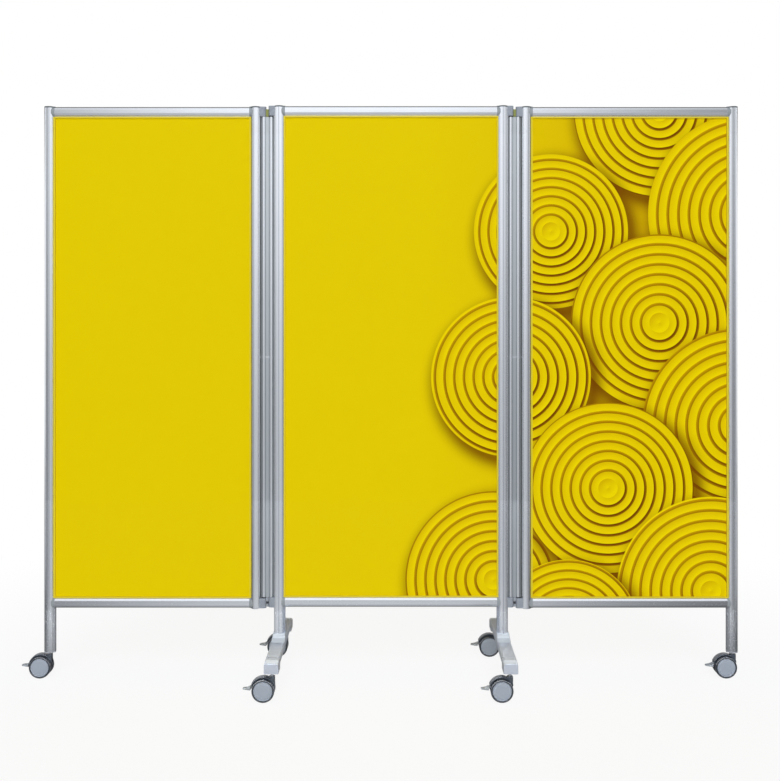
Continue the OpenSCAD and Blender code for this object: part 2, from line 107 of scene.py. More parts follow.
def srgb(code: str) -> Colour:
    """Turns a colour's six hex digits, as seen on a screen, into linear values from 0 to 1."""
    parts = [int(code[i:i + 2], 16) / 255 for i in (0, 2, 4)]
    return tuple(p / 12.92 if p <= 0.04045 else ((p + 0.055) / 1.055) ** 2.4 for p in parts)


def middle_of(node: str) -> float:
    """X of a node's middle, in metres."""
    low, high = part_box(node)
    return (low.x + high.x) / 2


def post_ends(post: str, nose: int) -> tuple[float, float, float]:
    """X of a post's axis and heights of its ends, in metres; nose is the sign of X towards its nose."""
    low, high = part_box(post)
    x = low.x + TUBE_R * MM if nose > 0 else high.x - TUBE_R * MM
    return x, low.z, high.z


# ---- Shading ----


class Sock:
    """One output socket of a node tree, so that shader maths reads as Python maths."""

    def __init__(self, tree: "Tree", socket: bpy.types.NodeSocket) -> None:
        """Keeps the socket and the tree that its sums are added to."""
        self.tree = tree
        self.socket = socket

    def _op(self, kind: str, *terms: Any, clamp: bool = False) -> "Sock":
        """Adds a Math node of one kind over the given terms."""
        settings = {"operation": kind, "use_clamp": clamp}
        made = self.tree.node("ShaderNodeMath", settings, dict(enumerate(terms)))
        return Sock(self.tree, made.outputs[0])

    def __add__(self, other: Any) -> "Sock":
        """Sum."""
        return self._op("ADD", self, other)

    def __mul__(self, other: Any) -> "Sock":
        """Product."""
        return self._op("MULTIPLY", self, other)

    def __sub__(self, other: Any) -> "Sock":
        """Difference."""
        return self._op("SUBTRACT", self, other)

    def __truediv__(self, other: Any) -> "Sock":
        """Quotient."""
        return self._op("DIVIDE", self, other)

    def abs(self) -> "Sock":
        """Size without the sign."""
        return self._op("ABSOLUTE", self)

    def fract(self) -> "Sock":
        """What stands behind the point."""
        return self._op("FRACT", self)

    def sqrt(self) -> "Sock":
        """Square root."""
        return self._op("SQRT", self)

    def unit(self) -> "Sock":
        """The value held between 0 and 1."""
        return self._op("ADD", self, 0.0, clamp=True)

    def step(self, start: float, end: float) -> "Sock":
        """Goes smoothly from 0 where the value is start to 1 where it is end, either way round."""
        rising = start < end
        inputs = {
            "Value": self, "From Min": min(start, end), "From Max": max(start, end),
            "To Min": 0.0 if rising else 1.0, "To Max": 1.0 if rising else 0.0,
        }
        node = self.tree.node("ShaderNodeMapRange", {"interpolation_type": "SMOOTHSTEP"}, inputs)
        return Sock(self.tree, node.outputs[0])


class Tree:
    """A material's or the world's node tree, with one method that adds any node."""

    def __init__(self, owner: Any) -> None:
        """Empties the owner's tree."""
        owner.use_nodes = True
        self.nodes = owner.node_tree.nodes
        self.links = owner.node_tree.links
        self.nodes.clear()

    def node(self, kind: str, settings: dict | None = None, inputs: dict | None = None) -> bpy.types.Node:
        """Adds one node.

        Args:
            kind: Blender's type name of the node.
            settings: Values of the node's own fields, set before the inputs.
            inputs: Values or sockets for the node's inputs, by name or number.

        Returns:
            The node.
        """
        made = self.nodes.new(kind)
        for key, value in (settings or {}).items():
            setattr(made, key, value)
        for key, value in (inputs or {}).items():
            target = made.inputs[key]
            if isinstance(value, Sock):
                self.links.new(value.socket, target)
            elif isinstance(value, bpy.types.NodeSocket):
                self.links.new(value, target)
            elif target.type == "RGBA" and len(value) == 3:
                target.default_value = (*value, 1.0)
            else:
                target.default_value = value
        return made

    def parts(self, vector: bpy.types.NodeSocket) -> tuple[Sock, Sock, Sock]:
        """X, Y and Z of a vector."""
        split = self.node("ShaderNodeSeparateXYZ", inputs={0: vector})
        return tuple(Sock(self, part) for part in split.outputs)

    def place(self) -> tuple[Sock, Sock, Sock]:
        """The point of the surface in the object's own frame, in metres."""
        return self.parts(self.node("ShaderNodeTexCoord").outputs["Object"])

    def unwrapped(self) -> tuple[Sock, Sock]:
        """The piece's own UV: round the shape, and along its profile."""
        return self.parts(self.node("ShaderNodeUVMap", {"uv_map": "UVMap"}).outputs[0])[:2]

    def noise(self, x: Any, y: Any, z: Any, scale: float, detail: float = 2.0) -> Sock:
        """Smooth noise from 0 to 1 at a point, with scale periods a unit."""
        where = self.node("ShaderNodeCombineXYZ", inputs={0: x, 1: y, 2: z}).outputs[0]
        inputs = {"Vector": where, "Scale": scale, "Detail": detail, "Roughness": 0.55}
        made = self.node("ShaderNodeTexNoise", {"noise_dimensions": "3D"}, inputs)
        return Sock(self, made.outputs["Fac"])

    def mix(self, share: Any, first: Any, second: Any) -> Sock:
        """Blends two colours, given as values or sockets: a share of 0 is the first, 1 the second."""
        inputs = {"Factor": share, 6: first, 7: second}
        return Sock(self, self.node("ShaderNodeMix", {"data_type": "RGBA"}, inputs).outputs[2])

    def facing(self, stretch: Point) -> Sock:
        """The surface's normal with its parts stretched, at unit length."""
        facing = self.node("ShaderNodeNewGeometry").outputs["Normal"]
        for operation, more in (("MULTIPLY", {1: stretch}), ("NORMALIZE", {})):
            made = self.node("ShaderNodeVectorMath", {"operation": operation}, {0: facing, **more})
            facing = made.outputs[0]
        return Sock(self, facing)

    def bump(self, height: Sock, strength: float, depth: float, facing: Sock | None = None) -> Sock:
        """Turns a height from 0 to 1 into a normal.

        Args:
            height: The height.
            strength: How much of it shows.
            depth: The distance from 0 to 1, in metres.
            facing: The normal that it starts from, or none for the surface's own.

        Returns:
            The normal.
        """
        inputs = {"Strength": strength, "Distance": depth, "Height": height}
        if facing is not None:
            inputs["Normal"] = facing
        return Sock(self, self.node("ShaderNodeBump", inputs=inputs).outputs[0])

    def looked_at(self) -> Sock:
        """1 for what the camera sees, directly or in metal or glass, and 0 for what only lights others."""
        path = self.node("ShaderNodeLightPath").outputs
        kinds = ("Camera", "Glossy", "Transmission")
        camera, glossy, through = (Sock(self, path[f"Is {kind} Ray"]) for kind in kinds)
        return (camera + glossy + through).unit()

    def either(self, share: Any, first: bpy.types.Node, second: bpy.types.Node) -> bpy.types.Node:
        """Mixes two shaders: a share of 0 is the first, 1 the second."""
        inputs = {0: share, 1: first.outputs[0], 2: second.outputs[0]}
        return self.node("ShaderNodeMixShader", inputs=inputs)

    def end(self, shader: bpy.types.Node) -> None:
        """Ends a material's tree in one shader."""
        self.node("ShaderNodeOutputMaterial", inputs={"Surface": shader.outputs[0]})


class Finish:
    """A surface finish that makes its material once."""

    name: str

    def material(self) -> bpy.types.Material:
        """The finish's material, made at the first call."""
        found = bpy.data.materials.get(self.name)
        if found is None:
            found = bpy.data.materials.new(self.name)
            tree = Tree(found)
            tree.end(tree.node("ShaderNodeBsdfPrincipled", inputs=self.surface(tree)))
        return found

    def surface(self, tree: Tree) -> dict:
        """Makes what varies over the surface.

        Args:
            tree: The material's tree.

        Returns:
            The shader's inputs.
        """
        raise NotImplementedError


@dataclass(frozen=True)
class SatinAluminium(Finish):
    """Satin-anodised aluminium extrusion, with faint lines along its length.

    The lip colour is painted shade: it darkens what lies in a band about Y = 0, at heights further than
    shade_from from middle_z, which takes in the nose and the tube's far edges. A flatness above 1 makes a
    round face reflect more of what is in front of it.
    """

    name: str
    grain: Grain
    pale: str = "F1F3F6"
    deep: str = "DDE1E5"
    # the colour of the painted shade on the band about Y = 0
    lip: str = "8B8D86"
    rough: float = 0.24
    # half-width in Y of the band of painted shade, in metres
    nose_half_w: float = 0.0072
    flatness: float = 1.0
    shade_from: float = 0.0
    middle_z: float = 1.12

    def surface(self, tree: Tree) -> dict:
        """Streaks that run with the grain over a slow mottling, scuffs near the floor, and painted shade in
        the lip colour.
        """
        x, y, z = tree.place()
        gx, gy, gz = self.grain.value
        streak = tree.noise(x * gx, y * gy, z * gz, 900.0, 3.0)
        cloud = tree.noise(x, y, z, 5.0)
        scuff = tree.noise(x, y, z, 160.0, 4.0).step(0.62, 0.75) * z.step(0.35, 0.05)
        tone = (streak * 0.55 + cloud * 0.45 + scuff * 0.3).unit()
        metal = tree.mix(tone, srgb(self.pale), srgb(self.deep))
        # painted shade: the lip colour goes on the band about Y = 0, beyond shade_from in height
        shaded_heights = (z - self.middle_z).abs().step(self.shade_from, self.shade_from + 0.004)
        nose = y.abs().step(self.nose_half_w + 0.0004, self.nose_half_w) * shaded_heights
        facing = tree.facing((1.0, self.flatness, 1.0))
        return {
            "Base Color": tree.mix(nose, metal, srgb(self.lip)),
            "Metallic": 1.0,
            "Roughness": streak * 0.1 + cloud * 0.04 + scuff * 0.1 + nose * 0.2 + self.rough - 0.05,
            "Normal": tree.bump(streak, 0.1, 0.00006, facing),
        }


@dataclass(frozen=True)
class HingedPost(SatinAluminium):
    """A post beside a hinge, with painted shade on the flank next to its sheet and in the groove along its
    front.

    One finish serves a left and a right post alike, and takes its measures from the right one.
    """

    right_post: str = "centre_right_post"
    nose: int = -1
    flank_from: float = 0.007
    flank_to: float = 0.0165
    # share of painted shade in the groove along the front
    groove: float = 0.5
    groove_from: float = 0.0024
    groove_to: float = 0.001
    shade: str = "B4BAC4"

    def surface(self, tree: Tree) -> dict:
        """Paints shade on the flank beyond flank_from on the side of the nose, and in the groove about the
        axis.
        """
        inputs = super().surface(tree)
        panel_x = middle_of("centre_sheet")
        axis_x = post_ends(self.right_post, self.nose)[0] - panel_x
        off = (tree.place()[0] - panel_x).abs() - axis_x
        flank = (off * self.nose).step(self.flank_from, self.flank_to)
        # painted shade: the flank by the sheet and the groove take the shade colour
        dark = (flank + off.abs().step(self.groove_from, self.groove_to) * self.groove).unit()
        inputs["Base Color"] = tree.mix(dark, inputs["Base Color"], srgb(self.shade))
        return inputs


@dataclass(frozen=True)
class Rosette:
    """One printed paper rosette of nested rings: its middle, radius and ring pitch in metres."""

    x: float
    z: float
    radius: float
    pitch: float


@dataclass(frozen=True)
class PrintedSheet(Finish):
    """A satin yellow board whose front carries nested paper rings with soft amber shadows."""

    name: str
    yellow: str = "E5CB00"
    bright: str = "EFD800"
    amber: str = "C79A00"
    brown: str = "6B3200"
    fall_x: float = 0.6
    fall_z: float = -0.8
    fall: float = 0.03
    rosettes: tuple[Rosette, ...] = (
        Rosette(0.98, 1.98, 0.30, 0.034),
        Rosette(1.30, 1.62, 0.36, 0.037),
        Rosette(0.60, 1.56, 0.27, 0.032),
        Rosette(0.40, 0.34, 0.31, 0.035),
        Rosette(0.98, 1.24, 0.31, 0.035),
        Rosette(0.46, 1.05, 0.28, 0.034),
        Rosette(1.26, 0.88, 0.34, 0.038),
        Rosette(0.80, 0.66, 0.30, 0.034),
        Rosette(1.16, 0.30, 0.33, 0.036),
        Rosette(0.66, 0.16, 0.25, 0.031),
    )

    def surface(self, tree: Tree) -> dict:
        """Lays the rosettes over each other, from the back one to the front one."""
        x, y, z = tree.place()
        colour = tree.mix(x.step(0.1, 1.3) * 0.75, srgb(self.yellow), srgb(self.amber))
        for rosette in self.rosettes:
            colour = self.laid(tree, colour, x, z, rosette)
        colour = tree.mix(y.step(0.0, -0.001), srgb(self.yellow), colour)
        grain = tree.noise(x, y, z, 900.0)
        cloud = tree.noise(x, y, z, 2.5)
        return {
            "Base Color": tree.mix(grain * 0.05 + cloud * 0.03, colour, srgb(self.amber)),
            "Roughness": grain * 0.12 + cloud * 0.1 + 0.5,
            "Specular IOR Level": 0.03,
            "Normal": tree.bump(grain, 0.2, 0.00004),
        }

    def laid(self, tree: Tree, below: Sock, x: Sock, z: Sock, rosette: Rosette) -> Sock:
        """Adds one rosette: rings parted by slits, with shadows that fall to the lower right.

        Args:
            tree: The material's tree.
            below: The colour that the rosette lies on.
            x: The point's X.
            z: The point's Z.
            rosette: The rosette.

        Returns:
            The colour with the rosette on it.
        """
        radius = rosette.radius
        dx, dz = x - rosette.x, z - rosette.z
        away = (dx * dx + dz * dz).sqrt()
        facing = (dx * self.fall_x + dz * self.fall_z) / (away + 0.0001)
        inside = away.step(radius + 0.0006, radius - 0.0006)
        sx, sz = dx - self.fall * self.fall_x, dz - self.fall * self.fall_z
        cast = (sx * sx + sz * sz).sqrt().step(radius + 0.075, radius - 0.01)
        shaded = tree.mix(cast * cast * 0.85, below, srgb(self.brown))
        phase = (away / rosette.pitch).fract()
        slit = phase.step(0.70, 0.735) * away.step(0.04, 0.06)
        depth = (phase.step(1.0, 0.72) * 0.5 + facing * 0.35 + 0.35).unit()
        roll = ((phase - 0.35) * facing * -0.8 + 0.25).unit()
        paper = tree.mix(roll, srgb(self.bright), srgb(self.amber))
        gap = tree.mix(depth, srgb(self.amber), srgb(self.brown))
        return tree.mix(inside, shaded, tree.mix(slit, paper, gap))


@dataclass(frozen=True)
class Moulded(Finish):
    """Moulded plastic with a fine spark-eroded texture, faint flow marks and light scuffs."""

    name: str
    colour: str
    worn: str
    rough: float = 0.42
    texture: float = 0.3
    coat: float = 0.0

    def surface(self, tree: Tree) -> dict:
        """Fine pits for height and gloss, and slow clouds and scuffs for tone."""
        x, y, z = tree.place()
        pits = tree.noise(x, y, z, 1800.0)
        cloud = tree.noise(x, y, z, 30.0)
        scuff = tree.noise(x, y, z, 260.0, 5.0).step(0.6, 0.78)
        share = (cloud * 0.35 + scuff * 0.45 + pits * 0.1).unit()
        return {
            "Base Color": tree.mix(share, srgb(self.colour), srgb(self.worn)),
            "Roughness": pits * 0.1 + scuff * 0.12 + self.rough - 0.05,
            "Coat Weight": self.coat,
            "Coat Roughness": 0.2,
            "Normal": tree.bump(pits, self.texture, 0.00008),
        }


@dataclass(frozen=True)
class PowderCoat(Finish):
    """Satin powder coat on metal, with its orange-peel surface and a little metallic flake.

    A painted highlight makes the coat paler beyond a distance from Y = 0 and above a height, both in
    metres, which is where the feet's noses slope up towards the light.
    """

    name: str
    colour: str
    flake: str
    rough: float = 0.4
    # colour of the painted highlight on the feet's sloping noses; the two fields below give where it starts
    thick: str = "D6DDEA"
    thick_from: float = 0.2165
    thick_over: float = 0.1275

    def surface(self, tree: Tree) -> dict:
        """Shallow waves for the peel, tiny grains for the flake, and a painted highlight on the feet's
        sloping noses.
        """
        x, y, z = tree.place()
        peel = tree.noise(x, y, z, 520.0, 1.0)
        flakes = tree.noise(x, y, z, 3200.0, 1.0).step(0.58, 0.72)
        cloud = tree.noise(x, y, z, 12.0)
        coat = tree.mix((flakes * 0.5 + cloud * 0.3).unit(), srgb(self.colour), srgb(self.flake))
        # painted highlight: the feet's sloping noses, which face the light, are made paler
        nose = y.abs().step(self.thick_from, self.thick_from + 0.002)
        nose = nose * z.step(self.thick_over, self.thick_over + 0.0015)
        return {
            "Base Color": tree.mix(nose, coat, srgb(self.thick)),
            "Metallic": 0.04,
            "Specular IOR Level": 0.12,
            "Roughness": peel * 0.1 + cloud * 0.06 + self.rough - 0.08,
            "Normal": tree.bump(peel, 0.35, 0.00012),
        }


@dataclass(frozen=True)
class PlatedSteel(Finish):
    """Plated steel with fine turning marks round an upright axis."""

    name: str
    colour: str
    worn: str
    rough: float = 0.22
    metallic: float = 1.0

    def surface(self, tree: Tree) -> dict:
        """Turning marks are narrow bands of height along Z, under a fine grain."""
        x, y, z = tree.place()
        turned = tree.noise(0.0, 0.0, z, 2500.0)
        grain = tree.noise(x, y, z, 700.0, 3.0)
        return {
            "Base Color": tree.mix(grain, srgb(self.colour), srgb(self.worn)),
            "Metallic": self.metallic,
            "Roughness": turned * 0.12 + grain * 0.06 + self.rough - 0.06,
            "Normal": tree.bump(turned, 0.3, 0.00005),
        }


@dataclass(frozen=True)
class Turned(Finish):
    """A finish that follows a turned piece's own UV: fine rings, and dust where it rolls."""

    name: str
    colour: str
    worn: str
    rough: float
    rings: float
    dust: float = 0.0
    coat: float = 0.0

    def surface(self, tree: Tree) -> dict:
        """Fine rings along the profile, speckle round it, and a dusty tread."""
        around, along = tree.unwrapped()
        x, y, z = tree.place()
        rings = tree.noise(0.0, along, 0.0, self.rings)
        speckle = tree.noise(x, y, z, 900.0, 3.0)
        cloud = tree.noise((around - 0.5).abs() * 6.0, along, 0.0, 4.0)
        dusty = along.step(0.3, 0.4) * along.step(0.62, 0.52) * self.dust
        share = (rings * 0.25 + speckle * 0.2 + cloud * 0.3 + dusty).unit()
        return {
            "Base Color": tree.mix(share, srgb(self.colour), srgb(self.worn)),
            "Roughness": speckle * 0.12 + cloud * 0.08 + self.rough - 0.08,
            "Coat Weight": self.coat,
            "Coat Roughness": 0.12,
            "Normal": tree.bump(rings * 0.6 + speckle * 0.4, 0.3, 0.0001),
        }


@dataclass(frozen=True)
class Finishes:
    """All finishes of the partition."""

    # On the posts the lip colour paints shade on a thin band about Y = 0: the nose and the tube's side
    # edges.
    post: Finish = SatinAluminium("post_aluminium", Grain.UPRIGHT, nose_half_w=0.001)
    inner_post: Finish = HingedPost(
        "inner_post_aluminium", Grain.UPRIGHT, right_post="right_wing_inner_post", nose=1, flank_from=0.004,
        groove=0.0, shade="989C9E",
    )
    centre_post: Finish = HingedPost(
        "centre_post_aluminium", Grain.UPRIGHT, nose_half_w=0.003, flatness=2.6,
    )
    # On the rails the lip colour paints shade on the outer edge: the top of the upper rail and the
    # underside of the lower one.
    rail: Finish = SatinAluminium("rail_aluminium", Grain.ACROSS, nose_half_w=0.0102, shade_from=0.868)
    sheet: Finish = PrintedSheet("printed_sheet")
    cap: Finish = Moulded("cap_moulded", "50575A", "62696C", 0.5)
    plug: Finish = Moulded("plug_moulded", "9A9CA3", "A9ABB1", 0.4)
    saddle: Finish = Moulded("saddle_moulded", "8B9195", "9BA1A5", 0.4)
    block: Finish = PowderCoat("block_coat", "90969F", "A6ABB4", 0.42)
    foot: Finish = PowderCoat("foot_coat", "B8BECB", "C9CEDA", 0.42)
    collar: Finish = PowderCoat("collar_coat", "C2C8CE", "D2D7DD", 0.42)
    # On the hinge strips the lip colour paints shade on what lies near Y = 0: the web between the two
    # beads.
    strip: Finish = SatinAluminium(
        "strip_aluminium_upright", Grain.UPRIGHT, lip="C9CFD1", nose_half_w=0.0048,
    )
    bead: Finish = Moulded("bead_moulded", "DAC51A", "DFC80E", 0.5)
    stem: Finish = PlatedSteel("stem_plated", "C9CBCE", "A9ACB1")
    pin: Finish = PlatedSteel("pin_plated", "B5B8BC", "9A9DA2")
    brass: Finish = PlatedSteel("spacer_passivated", "8C9150", "777B40", 0.4, 0.3)
    spacer: Finish = Moulded("spacer_moulded", "8E939B", "9DA2A9")
    rubber: Finish = Moulded("lip_rubber", "62666B", "72767B", 0.6, 0.2)
    dark: Finish = Moulded("spacer_slot", "2E3135", "3B3F44", 0.6, 0.2)
    hood: Finish = Moulded("hood_moulded", "3C434C", "525963", 0.34, 0.2, 0.15)
    pedal: Finish = Moulded("pedal_moulded", "989DA2", "A8ADB2", 0.45)
    tyre: Finish = Turned("tyre_tread", "282E36", "464C55", 0.3, 60.0, 0.35, 0.8)
    hub: Finish = Turned("hub_moulded", "98A0AC", "A8B0BB", 0.36, 90.0)


# ---- Shapes ----


def softened(path: np.ndarray, cut: Any) -> np.ndarray:
    """Rounds the corners of closed outlines.

    Each corner C becomes a parabola between the points A and B that lie cut away from it on its sides:
    P(s) = (1 - s)^2 A + 2 s (1 - s) C + s^2 B.

    Args:
        path: Corners, shaped (..., corners, 2).
        cut: How far from a corner the rounding starts, one number or one for each corner.

    Returns:
        The rounded outlines, shaped (..., corners * STEPS, 2).
    """
    sides = [np.roll(path, turn, axis=-2) - path for turn in (1, -1)]
    lengths = [np.linalg.norm(side, axis=-1, keepdims=True) for side in sides]
    reach = np.broadcast_to(np.asarray(cut, float), path.shape[:-1])[..., None]
    start, stop = (path + side * np.minimum(reach / length, 0.5) for side, length in zip(sides, lengths))
    s = np.linspace(0, 1, STEPS)[:, None]
    a, c, b = (points[..., None, :] for points in (start, path, stop))
    return ((1 - s) ** 2 * a + 2 * s * (1 - s) * c + s ** 2 * b).reshape(*path.shape[:-2], -1, 2)


def box_outline(x0: float, x1: float, y0: float, y1: float, cut: Any) -> np.ndarray:
    """A rounded rectangle, with its corners counted from the lower left one, counter-clockwise."""
    return softened(np.array([(x0, y0), (x1, y0), (x1, y1), (x0, y1)], float), cut)


def arc(radius: float, start: float, stop: float, count: int, middle: tuple = (0.0, 0.0)) -> np.ndarray:
    """Points of an arc: middle + radius (cos a, sin a), for a from start to stop in degrees."""
    a = np.radians(np.linspace(start, stop, count))
    return np.array(middle) + radius * np.stack([np.cos(a), np.sin(a)], axis=1)


def inwards(outline: np.ndarray) -> np.ndarray:
    """At each point of a counter-clockwise outline, how far it moves for an inset of 1.

    The move bisects both sides' inward normals n and m: (n + m) / (1 + n . m + give). The give keeps it
    short at a sharp corner.
    """
    give, tiny = 0.15, 1e-9
    ahead = np.roll(outline, -1, axis=0) - outline
    normal = np.stack([-ahead[:, 1], ahead[:, 0]], axis=1)
    normal /= np.linalg.norm(normal, axis=1, keepdims=True) + tiny
    before = np.roll(normal, 1, axis=0)
    return (normal + before) / (1 + np.sum(normal * before, axis=1, keepdims=True) + give)


def raised(flat: np.ndarray, heights: np.ndarray) -> np.ndarray:
    """Puts each outline of (outlines, points, 2) at its own height, which gives (outlines, points, 3)."""
    return np.concatenate([flat, np.broadcast_to(heights[:, None, None], (*flat.shape[:2], 1))], axis=2)


def bore(outline: np.ndarray, radius: float, top: float, bottom: float) -> np.ndarray:
    """Two rings of a round bore about zero, with their points at the same angles as the outline's."""
    circle = outline / np.linalg.norm(outline, axis=1, keepdims=True) * radius
    return raised(np.stack([circle, circle]), np.array([top, bottom]))


def edged(
    outline: np.ndarray, low: float, high: float, edge: float, stops: Sequence[float] = ()
) -> np.ndarray:
    """A prism whose two rims are quarter-rounds.

    At the angle t a rim stands edge (1 - cos t) from the end and is inset by edge (1 - sin t).

    Args:
        outline: Counter-clockwise outline, shaped (points, 2).
        low: Height of the lower end.
        high: Height of the upper end.
        edge: Radius of the rims.
        stops: Further heights that get a ring.

    Returns:
        Rings of width, depth and height, shaped (rings, points, 3).
    """
    t = np.linspace(0, np.pi / 2, 4)
    up, inset = edge * (1 - np.cos(t)), edge * (1 - np.sin(t))
    heights = np.concatenate([low + up, np.asarray(stops, float), (high - up)[::-1]])
    insets = np.concatenate([inset, np.zeros(len(stops)), inset[::-1]])
    return raised(outline + inwards(outline) * insets[:, None, None], heights)


def lathed(profile: Sequence[tuple[float, float]], count: int) -> np.ndarray:
    """Turns a profile of radius and height: (r cos a, r sin a, h) for a round the whole circle."""
    radius, height = np.array(profile, float).T[:, :, None]
    a = np.linspace(0, 2 * np.pi, count, endpoint=False)
    return np.stack([radius * np.cos(a), radius * np.sin(a), height + 0 * a], axis=2)


def disc(hole: float, radius: float, low: float, high: float, edge: float) -> list[tuple[float, float]]:
    """The profile of a round disc or pin with a hole and chamfered edges, for lathed."""
    rim = [(radius - edge, low), (radius, low + edge), (radius, high - edge), (radius - edge, high)]
    return [(hole, low), *rim, (hole, high)]


def faces_of(rings: np.ndarray, joined: bool) -> tuple[list, np.ndarray]:
    """Joins rings of points by quads, and closes both ends, facing outwards.

    Args:
        rings: Points, shaped (rings, points, 3).
        joined: True if the last ring goes on to the first.

    Returns:
        The faces, and the UV of each of their corners.
    """
    m, n = rings.shape[:2]
    rows = m if joined else m - 1
    i, j = (grid.ravel() for grid in np.meshgrid(np.arange(rows), np.arange(n), indexing="ij"))
    far_i, far_j = (i + 1) % m, (j + 1) % n
    quads = np.stack([i * n + j, i * n + far_j, far_i * n + far_j, far_i * n + j], axis=1)
    around = np.stack([j, j + 1, j + 1, j], axis=1) / n
    along = np.stack([i, i, i + 1, i + 1], axis=1) / rows
    uv = np.stack([around, along], axis=2)
    corners = rings.reshape(-1, 3)[quads]
    across = np.cross(corners[:, 2] - corners[:, 0], corners[:, 3] - corners[:, 1])
    out = corners.mean(axis=1) - rings.reshape(-1, 3).mean(axis=0)
    turn = 1 if np.sum(across * out) > 0 else -1
    faces = quads[:, ::turn].tolist()
    uv = uv[:, ::turn].reshape(-1, 2)
    if not joined:
        faces += [list(range(n))[::-turn], list(range((m - 1) * n, m * n))[::turn]]
        uv = np.concatenate([uv, np.repeat([[0.5, 0.0], [0.5, 1.0]], n, axis=0)])
    return faces, uv


def added(name: str, data: Any) -> bpy.types.Object:
    """Puts an object that shows the given data into the scene."""
    made = bpy.data.objects.new(name, data)
    bpy.context.scene.collection.objects.link(made)
    return made


@dataclass
class Piece:
    """One dressed mesh that rides on a body."""

    name: str
    body: str
    finish: Finish
    slot: str

    def build(
        self, rings: np.ndarray, at: Point = (0.0, 0.0, 0.0), along: Along = Along.Z, joined: bool = False
    ) -> bpy.types.Object:
        """Skins rings of points, puts the mesh in place and gives it its finish.

        Args:
            rings: Width, depth and height in millimetres, shaped (rings, points, 3).
            at: Where the shape's own zero lies, in metres.
            along: The way the shape's height runs.
            joined: True if the last ring goes on to the first.

        Returns:
            The object.
        """
        placed = np.empty_like(rings)
        placed[..., list(along.value)] = rings
        placed = placed * MM + np.array(at)
        faces, uv = faces_of(placed, joined)
        mesh = bpy.data.meshes.new(self.name)
        mesh.from_pydata(placed.reshape(-1, 3), [], faces)
        mesh.uv_layers.new(name="UVMap").data.foreach_set("uv", uv.ravel())
        mesh.shade_smooth()
        mesh.set_sharp_from_angle(angle=math.radians(SHARP_FROM))
        mesh.materials.append(self.finish.material())
        made = added(self.name, mesh)
        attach(made, self.body)
        LOG.info("piece %s: %d faces on %s", self.name, len(faces), self.body)
        return made


# ---- Castors ----


